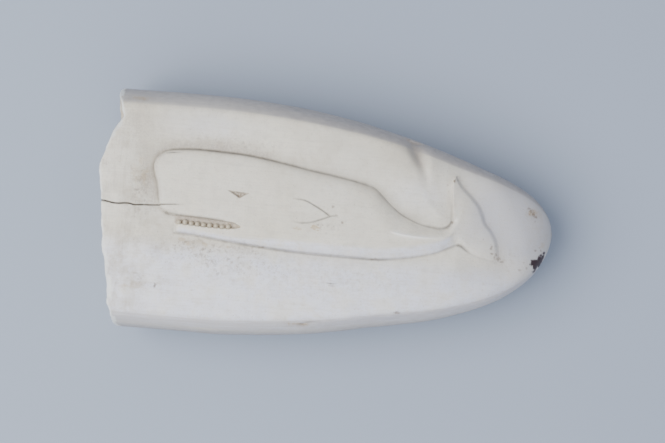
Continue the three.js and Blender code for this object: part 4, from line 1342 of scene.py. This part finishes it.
def ivoryMaterial():
    material = bpy.data.materials.new("Whale ivory")
    material.use_nodes = True
    tree = material.node_tree
    shader = tree.nodes["Principled BSDF"]
    place = addNode(tree, "ShaderNodeTexCoord").outputs["Object"]
    found = {name: noiseValue(tree, place, *pattern) for name, pattern in patterns.items()}

    def valueOf(name):                             # a pattern, or else a mask on the mesh
        if name not in found:
            found[name] = addNode(tree, "ShaderNodeAttribute", attribute_name=name).outputs["Fac"]
        return found[name]

    waver = remap(tree, found["cloud"], 0.3, 0.7, -0.05, 0.05)
    found["uneven"] = mathNode(tree, "ADD", valueOf("endShare"), waver)      # depth into the broken end
    found["wave"] = mathNode(tree, "SINE", times(tree, found["uneven"], ivory["growthRings"]))

    colour = ivory["pale"]
    for name, most, *parts in finishLayers:
        covers = most
        for part in parts:
            mask = valueOf(part) if isinstance(part, str) else remap(tree, valueOf(part[0]), *part[1:])
            covers = times(tree, covers, mask)
        mixed = addNode(tree, "ShaderNodeMix", data_type="RGBA")
        for socket, value in ((0, covers), (6, colour), (7, ivory[name])):      # factor, and the two colours
            fill(tree, mixed.inputs[socket], value)
        colour = mixed.outputs[2]
    tree.links.new(colour, shader.inputs["Base Color"])

    dull = remap(tree, found["mottle"], 0.3, 0.7, ivory["roughness"] - 0.06, ivory["roughness"] + 0.1)
    dull = mathNode(tree, "ADD", dull, times(tree, valueOf("brokenEnd"), 0.2))
    tree.links.new(dull, shader.inputs["Roughness"])
    relief = mathNode(tree, "ADD", times(tree, found["streak"], 0.5), times(tree, found["fine"], 0.5))
    relief = mathNode(tree, "ADD", relief, times(tree, found["scratch"], valueOf("rootward"), 0.8))
    bump = addNode(tree, "ShaderNodeBump", {"Height": relief, "Strength": 0.3, "Distance": 0.0003})
    tree.links.new(bump.outputs[0], shader.inputs["Normal"])
    shader.inputs["Subsurface Weight"].default_value = ivory["subsurface"]
    shader.inputs["Subsurface Radius"].default_value = (1.0, 0.75, 0.5)
    shader.inputs["Subsurface Scale"].default_value = 0.0015
    shader.inputs["IOR"].default_value = 1.54
    return material


stage = {"floor": (0.36, 0.415, 0.51, 1), "size": 3.0, "world": (0.82, 0.87, 1.0, 1), "worldStrength": 0.6}
lights = {                     # in metres and watts; both look at the middle of the tooth
    "Overhead": {"place": (-0.51, -0.1, 0.77), "size": 0.85, "power": 10.4, "colour": (1.0, 0.985, 0.955)},
    "NearFill": {"place": (-0.1, -0.5, 0.75), "size": 1.2, "power": 4.0, "colour": (0.9, 0.94, 1.0)},
}
camera = {"lens": 100.0, "azimuth": 4.75, "elevation": 86.0, "distance": 530.0, "target": (1.6, -0.3, 26.0)}


def buildLights():
    for name, values in lights.items():
        data = bpy.data.lights.new(name, "AREA")
        data.shape = "DISK"
        data.size = values["size"]
        data.energy = values["power"]
        data.color = values["colour"]
        light = bpy.data.objects.new(name, data)
        light.location = values["place"]
        aim = Vector((0, 0, 0.02)) - Vector(values["place"])
        light.rotation_euler = aim.to_track_quat("-Z", "Y").to_euler()
        bpy.context.scene.collection.objects.link(light)
    world = bpy.context.scene.world or bpy.data.worlds.new("World")
    bpy.context.scene.world = world
    world.use_nodes = True
    background = world.node_tree.nodes["Background"]
    background.inputs["Color"].default_value = stage["world"]
    background.inputs["Strength"].default_value = stage["worldStrength"]


def buildFloor():
    bpy.ops.mesh.primitive_plane_add(size=stage["size"], location=(0, 0, -0.05 * mm))
    floor = bpy.context.object
    floor.name = "Floor"
    material = bpy.data.materials.new("Pale floor")
    material.use_nodes = True
    shader = material.node_tree.nodes["Principled BSDF"]
    shader.inputs["Base Color"].default_value = stage["floor"]
    shader.inputs["Roughness"].default_value = 0.9
    floor.data.materials.append(material)


def buildCamera():
    azimuth, elevation = math.radians(camera["azimuth"]), math.radians(camera["elevation"])
    level = math.cos(elevation)
    back = Vector((math.sin(azimuth) * level, -math.cos(azimuth) * level, math.sin(elevation)))
    data = bpy.data.cameras.new("Camera")
    data.lens = camera["lens"]
    data.sensor_width = 36.0
    data.clip_start = 0.01
    made = bpy.data.objects.new("Camera", data)
    made.location = Vector(camera["target"]) * mm + drawingOrigin + back * camera["distance"] * mm
    made.rotation_euler = back.to_track_quat("Z", "Y").to_euler()
    bpy.context.scene.collection.objects.link(made)
    bpy.context.scene.camera = made


scrimshawTooth = buildTooth()
carveLines(scrimshawTooth, ivoryMaterial())
colourMouth(scrimshawTooth)
buildFloor()
buildLights()
buildCamera()
print("floor, lights and camera are set")

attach(scrimshawTooth, "root")
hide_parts(toothNode)
